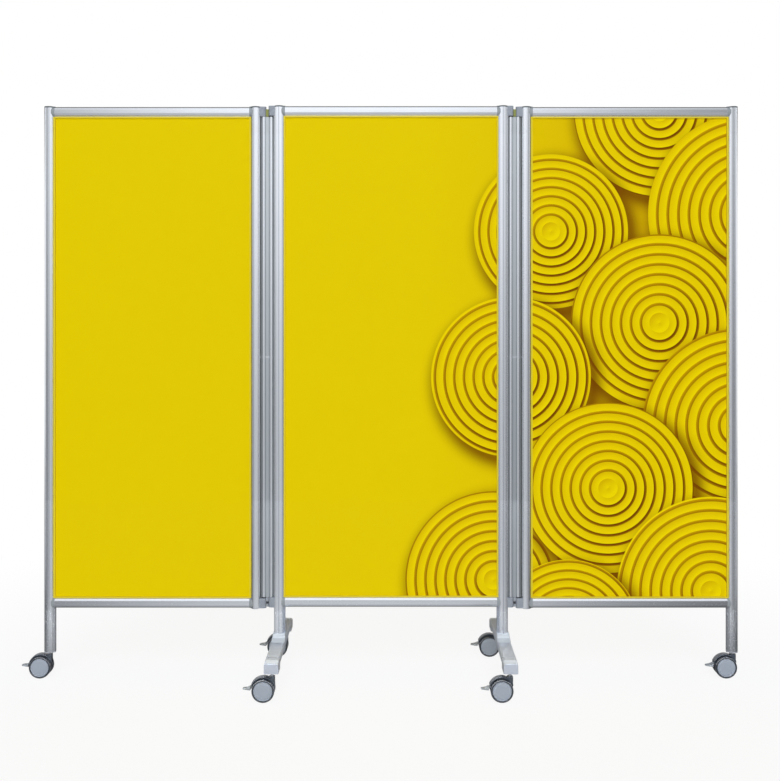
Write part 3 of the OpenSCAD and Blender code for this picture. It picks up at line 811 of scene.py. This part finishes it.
@dataclass
class Castor:
    """A twin-wheel castor: two wheels, the hood between and over them, and the brake pedal.

    Places are measured from the axle's middle. The hub's cover is a list of radii with depths under the
    wheel's outer face, and its back one of radii with depths over the inner face.
    """

    name: str
    finishes: Finishes
    trail: float = 28.0
    wheel_r: float = 37.5
    inner: float = 5.5
    outer: float = 24.5
    shoulder: float = 4.0
    groove_at: float = 7.85
    groove_half_w: float = 0.85
    groove_deep: float = 0.25
    hub_r: float = 31.6
    cover: tuple[tuple[float, float], ...] = (
        (0.4, 0.3), (10.0, 0.35), (20.0, 0.5), (26.5, 0.75), (27.4, 1.25), (28.2, 1.3), (28.8, 0.75),
        (29.6, 0.55), (30.5, 0.8), (31.1, 1.6), (31.6, 2.8),
    )
    cover_back: tuple[tuple[float, float], ...] = (
        (31.4, 2.0), (30.6, 0.6), (24.0, 0.6), (23.4, 2.2), (9.0, 2.2), (8.4, 0.4), (4.2, 0.4),
    )
    hood_r: float = 43.5
    hood_in: float = 39.8
    hood_half_w: float = 12.0
    hood_back: float = 37.5
    hood_turns: tuple[float, float] = (20.5, 160.0)
    web_r: float = 27.0
    web_half_w: float = 4.8
    web_turns: tuple[float, ...] = (2.0, 10.0, 162.0, 172.0)
    neck_r: float = 12.0
    neck_low: float = 12.5
    neck_high: float = 43.5
    bore_r: float = 5.1
    pivot: tuple[float, float] = (-30.0, 14.5)
    pivot_r: float = 5.8
    root: tuple[float, float] = (-44.0, 5.0)
    root_r: float = 4.6
    arm_half_w: float = 1.6
    tongue_from: float = -42.6
    tongue_bend: float = -60.0
    tongue_to: float = -69.0
    ridge: float = 0.18

    def build(self) -> None:
        """Makes all pieces of the castor."""
        low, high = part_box(f"{self.name}_front_wheel")
        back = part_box(f"{self.name}_back_wheel")[1]
        self.axle = ((low.x + high.x) / 2, (low.y + back.y) / 2, (low.z + high.z) / 2)
        for word, side in (("front", -1), ("back", 1)):
            self.wheel(word, side)
        self.hood()
        self.pedal()

    def piece(self, part: str, body: str, finish: Finish, slot: str) -> Piece:
        """Names one piece of this castor."""
        return Piece(f"{self.name}_{part}", f"{self.name}_{body}", finish, slot)

    def wheel(self, word: str, side: int) -> None:
        """A tyre with round shoulders, and the hub's plain cover with a bead round its rim."""
        r, out, shoulder = self.wheel_r, self.outer, self.shoulder
        outer_shoulder = arc(shoulder, 88, 4, 7, (r - shoulder, out - shoulder))
        inner_shoulder = arc(shoulder, -4, -88, 7, (r - shoulder, self.inner + shoulder))
        middle, half, deep = out - self.groove_at, self.groove_half_w, self.groove_deep
        groove = [
            (r, middle + half), (r - deep, middle + deep), (r - deep, middle - deep), (r, middle - half),
        ]
        profile = [
            (self.hub_r - 0.6, out - 6.0), (self.hub_r + 0.1, out - 1.6), (self.hub_r + 0.9, out - 0.5),
            *outer_shoulder, *groove, *inner_shoulder,
            (self.hub_r + 0.6, self.inner + 0.2), (self.hub_r - 0.6, self.inner + 1.2),
        ]
        tyre = self.piece(f"{word}_tyre", f"{word}_roll", self.finishes.tyre, "tyre_dark")
        made = tyre.build(lathed(profile, 96) * (1, 1, side), self.axle, Along.Y, joined=True)
        front = [(radius, out - under) for radius, under in self.cover]
        back = [(radius, self.inner + over) for radius, over in self.cover_back]
        hub = self.piece(f"{word}_hub", f"{word}_roll", self.finishes.hub, "hub_grey")
        hub.build(lathed(front + back, 96) * (1, 1, side), self.axle, Along.Y)
        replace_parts(made, f"{self.name}_{word}_wheel")

    def hood(self) -> None:
        """The guard swept about the axle, the web under it, and the neck that the stem turns in."""
        finish = self.finishes.hood
        guard, web, neck = (
            self.piece(part, "swivel", finish, "hood_dark") for part in ("guard", "web", "neck")
        )
        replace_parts(guard.build(self.guard(), self.axle, Along.Y), f"{self.name}_hood")
        half = self.web_half_w
        web.build(edged(self.web_outline(), -half, half, 0.6), self.axle, Along.Y)
        neck.build(self.neck(), self.axle, joined=True)

    def guard(self) -> np.ndarray:
        """Sweeps the guard's section (radius r, depth y) over the angle a: (r cos a, r sin a, y).

        The guard thins out over the last taper of both ends, in radians.
        """
        half, taper = self.hood_half_w, 0.06
        section = box_outline(self.hood_in, self.hood_r, -half, half, (0.6, 2.2, 2.2, 0.6))
        start, stop = np.radians(self.hood_turns)
        turns = np.linspace(start, stop, 56)
        r, y, a = np.moveaxis(raised(np.stack([section] * len(turns)), turns), 2, 0)
        ends = np.clip(np.minimum(a - start, stop - a) / taper, 0.35, 1) ** 0.5
        limit = np.maximum(self.back_limit(a), self.hood_in - 1)
        r = np.minimum(self.hood_in + (r - self.hood_in) * ends, limit)
        return np.stack([r * np.cos(a), r * np.sin(a), y], axis=2)

    def web_outline(self) -> np.ndarray:
        """The web's outline about the axle: a disc that widens smoothly to the guard over web_turns."""
        turn = np.linspace(0, 360, 145)[:-1]
        share = np.interp(turn, self.web_turns, (0, 1, 1, 0))
        share = share * share * (3 - 2 * share)
        r = self.web_r + (self.hood_in + 0.6 - self.web_r) * share
        a = np.radians(turn)
        r = np.minimum(r, self.back_limit(a, 0.3))
        return np.stack([r * np.cos(a), r * np.sin(a)], axis=1)

    def back_limit(self, a: np.ndarray, inset: float = 0.0) -> np.ndarray:
        """The radius at which the hood is cut upright behind, (hood_back - inset) / cos a, or far away."""
        return (self.hood_back - inset) / np.maximum(np.cos(a), 0.2)

    def neck(self) -> np.ndarray:
        """A round neck with a flat back and the stem's bore, about the stem's axis."""
        back = self.hood_back - self.trail
        turn = math.degrees(math.acos(back / self.neck_r))
        outline = arc(self.neck_r, turn, 360 - turn, 44)
        walls = edged(outline, self.neck_low, self.neck_high, 1.6)
        hole = bore(outline, self.bore_r, self.neck_high - 0.6, self.neck_low + 1)
        return np.concatenate([walls, hole]) + (self.trail, 0, 0)

    def pedal(self) -> None:
        """A tongue with grip ridges outside the wheels, on a flat arm that reaches to the cross pin."""
        finish = self.finishes.pedal
        tongue, arm = (self.piece(part, "brake", finish, "pedal_grey") for part in ("tongue", "arm"))
        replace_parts(tongue.build(self.tongue(), self.axle), f"{self.name}_pedal")
        (pivot_x, pivot_z), (root_x, root_z) = self.pivot, self.root
        lean = math.degrees(math.atan2(pivot_z - root_z, pivot_x - root_x))
        outline = np.concatenate([
            arc(self.pivot_r, lean - 90, lean + 90, 14, self.pivot),
            arc(self.root_r, lean + 90, lean + 270, 14, self.root),
        ])
        arm.build(edged(outline, -self.arm_half_w, self.arm_half_w, 0.4), self.axle, Along.Y)

    def tongue(self) -> np.ndarray:
        """Sections across X: y = w c|c|^(p-1), z = middle + h s|s|^(p-1), with c and s of the angle round.

        The power p is a half. Towards the tip the half-width w goes from 13.4 and the half-height h from
        6 to 2.2, and both round off there.
        """
        root, bend, tip = self.tongue_from, self.tongue_bend, self.tongue_to
        reach = bend - tip
        x = np.concatenate([np.linspace(root, bend, 40), tip + reach * np.cos(np.linspace(0.12, 1.5, 12))])
        rounding = np.sqrt(np.clip(1 - ((bend - x) / reach).clip(0) ** 2, 0.004, 1))
        w = np.interp(x, [bend - 0.5, root], [8.6, 13.4]) * rounding
        top = np.interp(x, [tip, -50, -45, root], [5.3, 7.0, 9.6, 10.8])
        bottom = np.interp(x, [tip, root], [0.9, -1.2])
        grip = self.ridge * np.sin((x + 46) * 1.35) * (x < -47.5) * (x > -62)
        a = np.linspace(0, 2 * np.pi, 40, endpoint=False)
        c, s = np.cos(a), np.sin(a)
        wide, tall = (np.sign(part) * np.abs(part) ** 0.5 for part in (c, s))
        middle, half = (top + bottom) / 2, (top - bottom) / 2
        near_tip = np.clip((x - tip + 0.2) / 2.5, 0.25, 1) ** 0.5
        z = middle[:, None] + (half * near_tip)[:, None] * tall + grip[:, None] * np.clip(s, 0, 1) ** 0.3
        return np.stack([np.broadcast_to(x[:, None], z.shape), w[:, None] * wide, z], axis=2)


# ---- Hinges ----


@dataclass
class Hinge:
    """What carries and closes the double-pivot hinge on one side of the middle panel."""

    side: Side
    finishes: Finishes
    gap: float = 26.0
    arm: float = 28.0
    block_r: float = 9.1
    block_h: float = 35.0
    pin_r: float = 3.0
    seat: float = 28.0
    drop: float = 3.0
    washer_r: float = 8.5
    waist_r: float = 10.0
    spacer_half_w: float = 4.5
    spacer_half_d: float = 7.0
    spacer_top: float = 26.0
    spacer_low: float = 33.0
    slot_from: float = 10.0
    slot_to: float = 18.5
    lip_from: float = 7.0
    lip_to: float = 10.3
    lip_half_d: float = 1.25

    def build(self) -> None:
        """Makes the blocks, pins, washers, spacers and lips."""
        self.word = self.side.word
        self.link = f"{self.word}_link"
        low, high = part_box(f"{self.word}_hinge_strip")
        self.middle = (low.x + high.x) / 2
        self.low, self.high = low.z / MM, high.z / MM
        wing = f"{self.word}_wing"
        self.set_on("centre", "centre_frame", "centre_hinge_blocks", -self.side.sign, self.high)
        self.set_on("wing", wing, f"{wing}_hinge_blocks", self.side.sign, self.low - self.drop)
        self.spacers()
        self.lips()

    def set_on(self, owner: str, body: str, node: str, toward: int, washer_low: float) -> None:
        """Makes what stands about one of the two pivots.

        Args:
            owner: "centre" or "wing", the panel that the blocks belong to.
            body: The body that the blocks ride on.
            node: The node that holds them in the frame.
            toward: Sign of X from the pivot to that panel's post.
            washer_low: Height of the washer's underside.
        """
        low, high = (corner.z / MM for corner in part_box(node))
        at = (self.middle + toward * self.gap / 2 * MM, 0.0, 0.0)
        for name, base in (("lower", low), ("upper", high - self.block_h)):
            block = Piece(f"{self.word}_{owner}_{name}_block", body, self.finishes.block, "hinge_grey")
            made = block.build(self.block(base) * (toward, 1, 1), at, joined=True)
            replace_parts(made, node)
        ends = {"lower": (low + 1, self.low + self.seat), "upper": (self.high - self.seat, high - 1)}
        for name, (start, stop) in ends.items():
            pin = Piece(f"{self.word}_{owner}_{name}_pin", self.link, self.finishes.pin, "pin_steel")
            profile = [*disc(0.5, self.pin_r, start, stop, 0.5)[:-1], (1.2, stop), (0.5, stop - 0.4)]
            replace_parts(pin.build(lathed(profile, 32), at), f"{self.word}_hinge_pin_set")
        ring = disc(self.pin_r, self.washer_r, washer_low, washer_low + self.drop, 0.4)
        washer = Piece(f"{self.word}_{owner}_washer", self.link, self.finishes.dark, "tyre_dark")
        washer.build(lathed(ring, 40), at)

    def block(self, base: float) -> np.ndarray:
        """A round-ended block about its pivot, bored for the pin and coped to the post."""
        cope_r = TUBE_R - 0.2
        spread = math.degrees(math.asin(self.block_r / cope_r))
        cope = arc(cope_r, 180 + spread, 180 - spread, 9, (self.arm, 0.0))
        outline = np.concatenate([cope, arc(self.block_r, 90, 270, 25)])
        top = base + self.block_h
        return np.concatenate([edged(outline, base, top, 0.8), bore(outline, self.pin_r + 0.15, top, base)])

    def waisted(self, shrink: float = 0.0) -> np.ndarray:
        """A spacer's outline, hollowed on both sides round the pivots."""
        half_w, half_d, reach = self.spacer_half_w - shrink, self.spacer_half_d - shrink, self.waist_r
        hollow_y = math.sqrt(reach ** 2 - (self.gap / 2 - self.spacer_half_w) ** 2)
        turn = math.degrees(math.asin(hollow_y / reach))
        right = arc(reach, 180 + turn, 180 - turn, 9, (self.gap / 2 - shrink, 0.0))
        corners = np.array([(half_w, half_d), (-half_w, half_d)])
        return np.concatenate([right, corners, -right, -corners])

    def spacers(self) -> None:
        """The passivated spacer between the upper blocks, and the grey one, with its slot, below."""
        kit, foot = self.finishes, self.low - self.spacer_low
        slot_low, slot_high = foot + self.slot_from, foot + self.slot_to
        wide, narrow = self.waisted(), self.waisted(1.2)
        for name, finish, slot, outline, low, high, edge in (
            ("upper_spacer", kit.brass, "spacer_yellow", wide, self.high, self.high + self.spacer_top, 0.4),
            ("lower_spacer", kit.spacer, "hinge_grey", wide, slot_high, self.low, 0.4),
            ("lower_spacer_heel", kit.spacer, "hinge_grey", wide, foot, slot_low, 0.4),
            ("lower_spacer_core", kit.dark, "tyre_dark", narrow, slot_low, slot_high, 0.1),
        ):
            spacer = Piece(f"{self.word}_{name}", self.link, finish, slot)
            spacer.build(edged(outline, low, high, edge), (self.middle, 0.0, 0.0))

    def lips(self) -> None:
        """The soft lip on each side of the strip that all but closes the gap to the post."""
        half = self.lip_half_d
        outline = box_outline(self.lip_from, self.lip_to, -half, half, (0.2, 0.9, 0.9, 0.2))
        rings = edged(outline, self.low, self.high, 0.3)
        for sign, owner in ((-self.side.sign, "inner"), (self.side.sign, "outer")):
            lip = Piece(f"{self.word}_{owner}_lip", self.link, self.finishes.rubber, "tyre_dark")
            lip.build(rings * (sign, 1, 1), (self.middle + sign * self.gap / 2 * MM, 0.0, 0.0))


# ---- Caps and feet ----


@dataclass
class Caps:
    """The caps on the posts' ends."""

    finishes: Finishes
    thick: float = 5.0
    crown: float = 0.4
    flange_h: float = 5.0

    def build(self) -> None:
        """Makes a cap on each post, and the round one under each wing's inner post."""
        self.top("centre_left_post", 1, "centre_frame", "centre_post_caps")
        self.top("centre_right_post", -1, "centre_frame", "centre_post_caps")
        for side in Side:
            wing = f"{side.word}_wing"
            self.top(f"{wing}_outer_post", -side.sign, wing, f"{wing}_post_caps")
            self.top(f"{wing}_inner_post", side.sign, wing, f"{wing}_post_caps")
            self.bottom(f"{wing}_inner_post", side.sign, wing, f"{wing}_post_caps")
            self.flange(f"{wing}_outer_post", -side.sign, wing)

    @staticmethod
    def outline() -> np.ndarray:
        """A post's outline: the tube's circle, with the nose towards +X."""
        turn = math.degrees(math.asin(NOSE_HALF_W / TUBE_R))
        nose = box_outline(0, NOSE_R, -NOSE_HALF_W, NOSE_HALF_W, 0.8)[STEPS:3 * STEPS]
        return np.concatenate([nose, arc(TUBE_R, turn, 360 - turn, 48)])

    def top(self, post: str, nose: int, body: str, node: str) -> None:
        """A plate of the post's outline with a round rim and a low crown."""
        x, _, z = post_ends(post, nose)
        walls = edged(self.outline(), 0.0, self.thick - self.crown, 0.5)
        share = np.array([0.9, 0.75, 0.5, 0.25, 0.04])
        crown = raised(walls[-1:, :, :2] * share[:, None, None], self.thick - self.crown * share ** 2)
        rings = np.concatenate([walls, crown])
        cap = Piece(f"{post}_cap", body, self.finishes.cap, "cap_grey")
        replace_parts(cap.build(rings * (nose, 1, 1), (x, 0.0, z)), node)

    def flange(self, post: str, nose: int, body: str) -> None:
        """The rim of the plug that closes the leg and holds the castor's stem."""
        x, z, _ = post_ends(post, nose)
        rim = Piece(f"{post}_plug_rim", body, self.finishes.plug, "hinge_grey")
        rim.build(edged(self.outline(), -self.flange_h, 0.0, 0.4) * (nose, 1, 1), (x, 0.0, z))

    def bottom(self, post: str, nose: int, body: str, node: str) -> None:
        """A shallow round cap with a soft rim."""
        x, z, _ = post_ends(post, nose)
        r = TUBE_R
        profile = [
            (0.5, -1.5), (r - 2.6, -1.5), (r - 1.2, -1.2), (r - 0.4, -0.6), (r - 0.1, 0.0), (r - 0.1, 0.6),
            (r - 2.6, 0.8), (0.5, 0.8),
        ]
        cap = Piece(f"{post}_foot_cap", body, self.finishes.cap, "cap_grey")
        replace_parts(cap.build(lathed(profile, 48), (x, 0.0, z)), node)


@dataclass
class Panel:
    """The beads that line a framed panel's noses, over the edges of its sheet."""

    word: str
    body: str
    left_post: str
    right_post: str
    finishes: Finishes
    width: float = 5.4
    rail_share: float = 0.8
    lap: float = 0.45
    sheet_half: float = 2.55
    thick: float = 0.4

    def build(self) -> None:
        """Makes the front and the back bead."""
        x0, x1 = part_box(self.left_post)[1].x / MM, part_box(self.right_post)[0].x / MM
        z0, z1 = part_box(f"{self.word}_bottom_rail")[1].z / MM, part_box(f"{self.word}_top_rail")[0].z / MM
        middle = np.array([(x0 + x1) / 2, (z0 + z1) / 2])
        half = np.array([(x1 - x0) / 2, (z1 - z0) / 2])
        face, top = NOSE_HALF_W, NOSE_HALF_W + self.thick
        outer = [(self.width, face), (self.width, top), (-0.1, top), (-self.lap, top - 0.3)]
        section = np.array([(-self.lap, self.sheet_half), (0, self.sheet_half), (0, face), *outer])
        turns = np.array([(1, 1), (-1, 1), (-1, -1), (1, -1)])[:, None, :]
        flat = middle + turns * (half + section[None, :, :1] * (1.0, self.rail_share))
        for name, side in (("front", -1), ("back", 1)):
            depth = np.broadcast_to(section[None, :, 1:] * side, (*flat.shape[:2], 1))
            rings = np.concatenate([flat, depth], axis=2)
            bead = Piece(f"{self.word}_{name}_bead", self.body, self.finishes.bead, "sheet_yellow")
            bead.build(rings, along=Along.Y, joined=True)


@dataclass
class Foot:
    """The blocks on the ends of a foot and the collar round its post."""

    side: Side
    finishes: Finishes
    half_w: float = 24.0
    low: float = 96.0
    top: float = 134.0
    nose_top: float = 129.5
    slope: float = 28.0
    length: float = 58.0
    rounding: tuple[float, ...] = (2.6, 2.6, 9.5, 9.5)
    end_edge: float = 2.0
    bend_half: float = 0.8
    collar_h: float = 21.0
    collar_in: float = 24.0
    collar_out: tuple[float, ...] = (23.5, 22.9, 22.2, 21.3, 20.5)
    collar_reach: tuple[float, ...] = (46.0, 38.0, 26.5, 23.6, 22.0)
    collar_at: tuple[float, ...] = (0.0, 4.0, 9.0, 14.0, 21.0)
    collar_corner: float = 5.0
    collar_edge: float = 1.5
    collar_draw: float = 0.04

    def build(self) -> None:
        """Makes both blocks and the collar."""
        word = self.side.word
        node = f"{word}_foot_end_blocks"
        low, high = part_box(node)
        x = middle_of(node)
        for name, end, reach in (("front", -1, -low.y / MM), ("rear", 1, high.y / MM)):
            block = Piece(f"{word}_{name}_foot_block", "centre_frame", self.finishes.foot, "foot_grey")
            made = block.build(self.block(reach) * (1, 1, end), (x, 0.0, 0.0), Along.Y)
            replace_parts(made, node)
        collar = Piece(f"{word}_foot_collar", "centre_frame", self.finishes.collar, "collar_grey")
        made = collar.build(self.collar() * (self.side.sign, 1, 1), (x, 0.0, self.top * MM))
        if self.side is Side.RIGHT:
            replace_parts(made, "foot_collars")

    def block(self, reach: float) -> np.ndarray:
        """A round-shouldered block whose top slopes down to its nose, out to the distance reach."""
        outline = box_outline(-self.half_w, self.half_w, self.low, self.top, self.rounding)
        bend = reach - self.slope
        stops = (bend - self.bend_half, bend + self.bend_half)
        rings = edged(outline, reach - self.length, reach, self.end_edge, stops)
        past = np.clip((rings[..., 2] - bend) / self.slope, 0, 1)
        fall = 1 - past * (self.top - self.nose_top) / (self.top - self.low)
        rings[..., 1] = self.low + (rings[..., 1] - self.low) * fall
        return rings

    def collar(self) -> np.ndarray:
        """Rounded rectangles, one over the other, that flare towards the beam."""
        h = np.linspace(0, self.collar_h, 22)
        out = np.interp(h, self.collar_at, self.collar_out)
        reach = np.interp(h, self.collar_at, self.collar_reach)
        reach = np.convolve(np.pad(reach, 1, mode="edge"), (0.25, 0.5, 0.25), mode="valid")
        inner = np.full_like(h, -self.collar_in)
        corners = np.stack([
            np.stack([inner, -reach], axis=1), np.stack([out, -reach], axis=1),
            np.stack([out, reach], axis=1), np.stack([inner, reach], axis=1),
        ], axis=1)
        edge = self.collar_edge
        rim = np.clip((h - self.collar_h + edge) / edge, 0, 1)[:, None, None]
        return raised(softened(corners, self.collar_corner) * (1 - self.collar_draw * rim ** 2), h)


# ---- Studio ----


@dataclass(frozen=True)
class Card:
    """A card that only reflections see: where it stands, how bright it is, and how far a band of it dims.

    Its level goes from level_from, where the coordinate number rise is rise_from, to level_to at rise_to.
    """

    name: str
    low: Point
    high: Point
    rise: int
    rise_from: float
    rise_to: float
    level_from: float
    level_to: float
    dim: float
    seen: Seen = Seen.BOTH


@dataclass(frozen=True)
class Key:
    """A broad light from far away: its strength, its tilt towards the front and its spread in degrees."""

    name: str
    strength: float
    tilt: float
    spread: float
    tint: Colour


@dataclass
class Studio:
    """The camera, the pale floor, the soft light and the cards that the metal reflects."""

    middle_x: float
    distance: float = 3.6
    eye_z: float = 1.32
    lens: float = 47.33
    shift_x: float = -0.0013
    shift_y: float = -0.116
    floor_half: float = 40.0
    ambient: float = 0.22
    keys: tuple[Key, ...] = (
        Key("high_key", 1.1, 45.0, 28.0, (0.84, 0.91, 1.0)),
        Key("front_key", 1.98, 86.0, 40.0, (1.0, 1.0, 1.0)),
        Key("back_key", 1.3, -88.0, 30.0, (1.0, 1.0, 1.0)),
    )
    near_white: float = 0.9
    card_tint: Colour = (0.935, 0.955, 1.0)
    bright_x: float = -0.15
    bright_half: float = 0.25
    dim_half: float = 1.75
    far_half: float = 2.9
    cards: tuple[Card, ...] = (
        Card("wall", (-8, -0.7, 0.01), (8, -0.7, 2.6), 2, 0.6, 2.4, 0.64, 1.22, 0.68),
        Card("floor", (-8, -0.7, 0.008), (8, 0.3, 0.008), 1, 0.25, -0.7, 0.3, 0.78, 0.72),
        Card("ceiling", (-8, -0.7, 2.6), (8, 0.1, 2.6), 1, 0.1, -0.3, 0.8, 1.2, 0.4),
        Card("back_ceiling", (-8, 0.1, 2.6), (8, 3, 2.6), 1, 0.1, 3.0, 0.2, 0.2, 0.0),
        Card("shelf", (-8, -0.65, 0.62), (8, -0.03, 0.62), 1, -0.65, -0.3, 0.85, 1.25, 0.15, Seen.BELOW),
        Card("ledge", (-8, -0.65, 1.9), (8, -0.03, 1.9), 1, -0.65, -0.1, 0.74, 0.6, 0.3, Seen.ABOVE),
        Card("spot", (-1.5, -0.34, 0.24), (1.5, -0.27, 0.24), 1, -0.34, -0.27, 13, 13, 0.0, Seen.BELOW),
        Card("near_spot", (-1.5, -0.13, 0.24), (1.5, -0.07, 0.24), 1, -0.13, -0.07, 9, 9, 0.0, Seen.BELOW),
        Card("back_floor", (-8, 0.3, 0.008), (8, 3, 0.008), 1, 0.3, 3.0, 0.26, 0.5, 0.0),
    )

    def build(self) -> None:
        """Makes everything of the studio."""
        self.camera()
        self.floor()
        self.world()
        for key in self.keys:
            self.key(key)
        for card in self.cards:
            self.card(card)

    def camera(self) -> None:
        """Sets a level camera in front of the middle panel, shifted down to the feet."""
        data = bpy.data.cameras.new("camera")
        data.sensor_width = 36.0
        data.lens = self.lens
        data.shift_x, data.shift_y = self.shift_x, self.shift_y
        made = added("camera", data)
        made.location = (self.middle_x, -self.distance, self.eye_z)
        made.rotation_euler = (math.radians(90), 0, 0)
        bpy.context.scene.camera = made

    def world(self) -> None:
        """White behind the object and in its reflections, and a soft even light for the rest."""
        world = bpy.data.worlds.new("studio")
        bpy.context.scene.world = world
        tree = Tree(world)
        strength = tree.looked_at() * (1.0 - self.ambient) + self.ambient
        shader = tree.node("ShaderNodeBackground", inputs={"Color": (1.0, 1.0, 1.0), "Strength": strength})
        tree.node("ShaderNodeOutputWorld", inputs={"Surface": shader.outputs[0]})

    def floor(self) -> None:
        """A wide pale floor that takes the object's shadow near it and goes white far away."""
        half = self.floor_half
        made = self.flat("floor", (-half, -half, 0.0), (half, half, 0.0))
        tree = Tree(self.coat(made))
        x, y, z = tree.place()
        grain = tree.noise(x, y, z, 40.0, 3.0)
        pale = tree.mix(grain * 0.1, (0.86, 0.86, 0.86), (0.8, 0.8, 0.8))
        lit = tree.node("ShaderNodeBsdfDiffuse", inputs={"Color": pale})
        white = tree.node("ShaderNodeEmission", inputs={"Color": (1.0, 1.0, 1.0), "Strength": 1.0})
        dx = x - self.middle_x
        away = (dx * dx + y * y).sqrt()
        share = (away.step(1.0, 2.6) * (1.0 - self.near_white) + self.near_white) * tree.looked_at()
        tree.end(tree.either(share, lit, white))

    def key(self, key: Key) -> None:
        """Makes one broad light, which only matt surfaces see."""
        data = bpy.data.lights.new(key.name, "SUN")
        data.energy = key.strength
        data.color = key.tint
        data.angle = math.radians(key.spread)
        made = added(key.name, data)
        made.rotation_euler = (math.radians(key.tilt), 0, 0)
        made.visible_glossy = False

    def card(self, card: Card) -> None:
        """Makes one card: its light goes from one level to the other along it, and dips on both sides."""
        shift = np.array([self.middle_x, 0, 0])
        made = self.flat(f"{card.name}_card", tuple(shift + card.low), tuple(shift + card.high))
        tree = Tree(self.coat(made))
        place = tree.place()
        height = place[card.rise].step(card.rise_from, card.rise_to)
        level = height * (card.level_to - card.level_from) + card.level_from
        away = (place[0] - self.bright_x).abs()
        shade = away.step(self.bright_half, self.dim_half) * away.step(self.far_half, self.dim_half)
        strength = level * (shade * -card.dim + 1.0)
        shader = tree.node("ShaderNodeEmission", inputs={"Color": self.card_tint, "Strength": strength})
        if card.seen is not Seen.BOTH:
            under = tree.node("ShaderNodeNewGeometry").outputs["Backfacing"]
            ends = [tree.node("ShaderNodeBsdfTransparent"), shader]
            if card.seen is Seen.ABOVE:
                ends.reverse()
            shader = tree.either(under, *ends)
        tree.end(shader)
        made.visible_camera = made.visible_diffuse = made.visible_shadow = False

    @staticmethod
    def coat(made: bpy.types.Object) -> bpy.types.Material:
        """Gives an object a new material of its own name."""
        material = bpy.data.materials.new(made.name)
        made.data.materials.append(material)
        return material

    @staticmethod
    def flat(name: str, low: Point, high: Point) -> bpy.types.Object:
        """Makes a rectangle between two opposite corners that share Y or Z."""
        (x0, y0, z0), (x1, y1, z1) = low, high
        corners = [(x0, y0, z0), (x1, y0, z0), (x1, y1, z1), (x0, y1, z1)]
        mesh = bpy.data.meshes.new(name)
        mesh.from_pydata(corners, [], [(0, 1, 2, 3)])
        return added(name, mesh)


# ---- Dressing the frame ----


@dataclass
class Dresser:
    """Gives the frame's own nodes their finishes."""

    finishes: Finishes

    def dress(self) -> None:
        """Puts one finish on each node, by what its name says it is."""
        for name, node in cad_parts.items():
            finish = self.finish_for(name)
            node.data.materials.clear()
            node.data.materials.append(finish.material())
            LOG.info("dressed %s in %s", name, finish.name)

    def finish_for(self, name: str) -> Finish:
        """The finish of the first kind whose word stands in a node's name."""
        kit = self.finishes
        kinds = {
            "centre_left_post": kit.centre_post, "centre_right_post": kit.centre_post,
            "inner_post": kit.inner_post, "pin_set": kit.pin, "saddles": kit.saddle, "sheet": kit.sheet,
            "post_caps": kit.cap, "hinge_blocks": kit.block, "hinge_strip": kit.strip, "stem": kit.stem,
            "fixings": kit.stem, "collars": kit.collar, "foot_beams": kit.foot, "end_blocks": kit.foot,
            "_post": kit.post, "_rail": kit.rail, "hood": kit.hood, "wheel": kit.hood, "pedal": kit.pedal,
        }
        return next(finish for word, finish in kinds.items() if word in name)


def main() -> None:
    """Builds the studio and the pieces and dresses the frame."""
    logging.basicConfig(level=logging.INFO, format="%(message)s")
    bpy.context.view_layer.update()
    finishes = Finishes()
    Studio(middle_of("centre_sheet")).build()
    Dresser(finishes).dress()
    Caps(finishes).build()
    Panel("centre", "centre_frame", "centre_left_post", "centre_right_post", finishes).build()
    for side in Side:
        wing = f"{side.word}_wing"
        ends = (f"{wing}_outer_post", f"{wing}_inner_post")[::-side.sign]
        Panel(wing, wing, *ends, finishes).build()
        Hinge(side, finishes).build()
        Foot(side, finishes).build()
    for name in sorted(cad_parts):
        if name.endswith("_castor_hood"):
            Castor(name.removesuffix("_hood"), finishes).build()
    bpy.context.scene.view_settings.view_transform = "Standard"


if __name__ == "__main__":
    main()
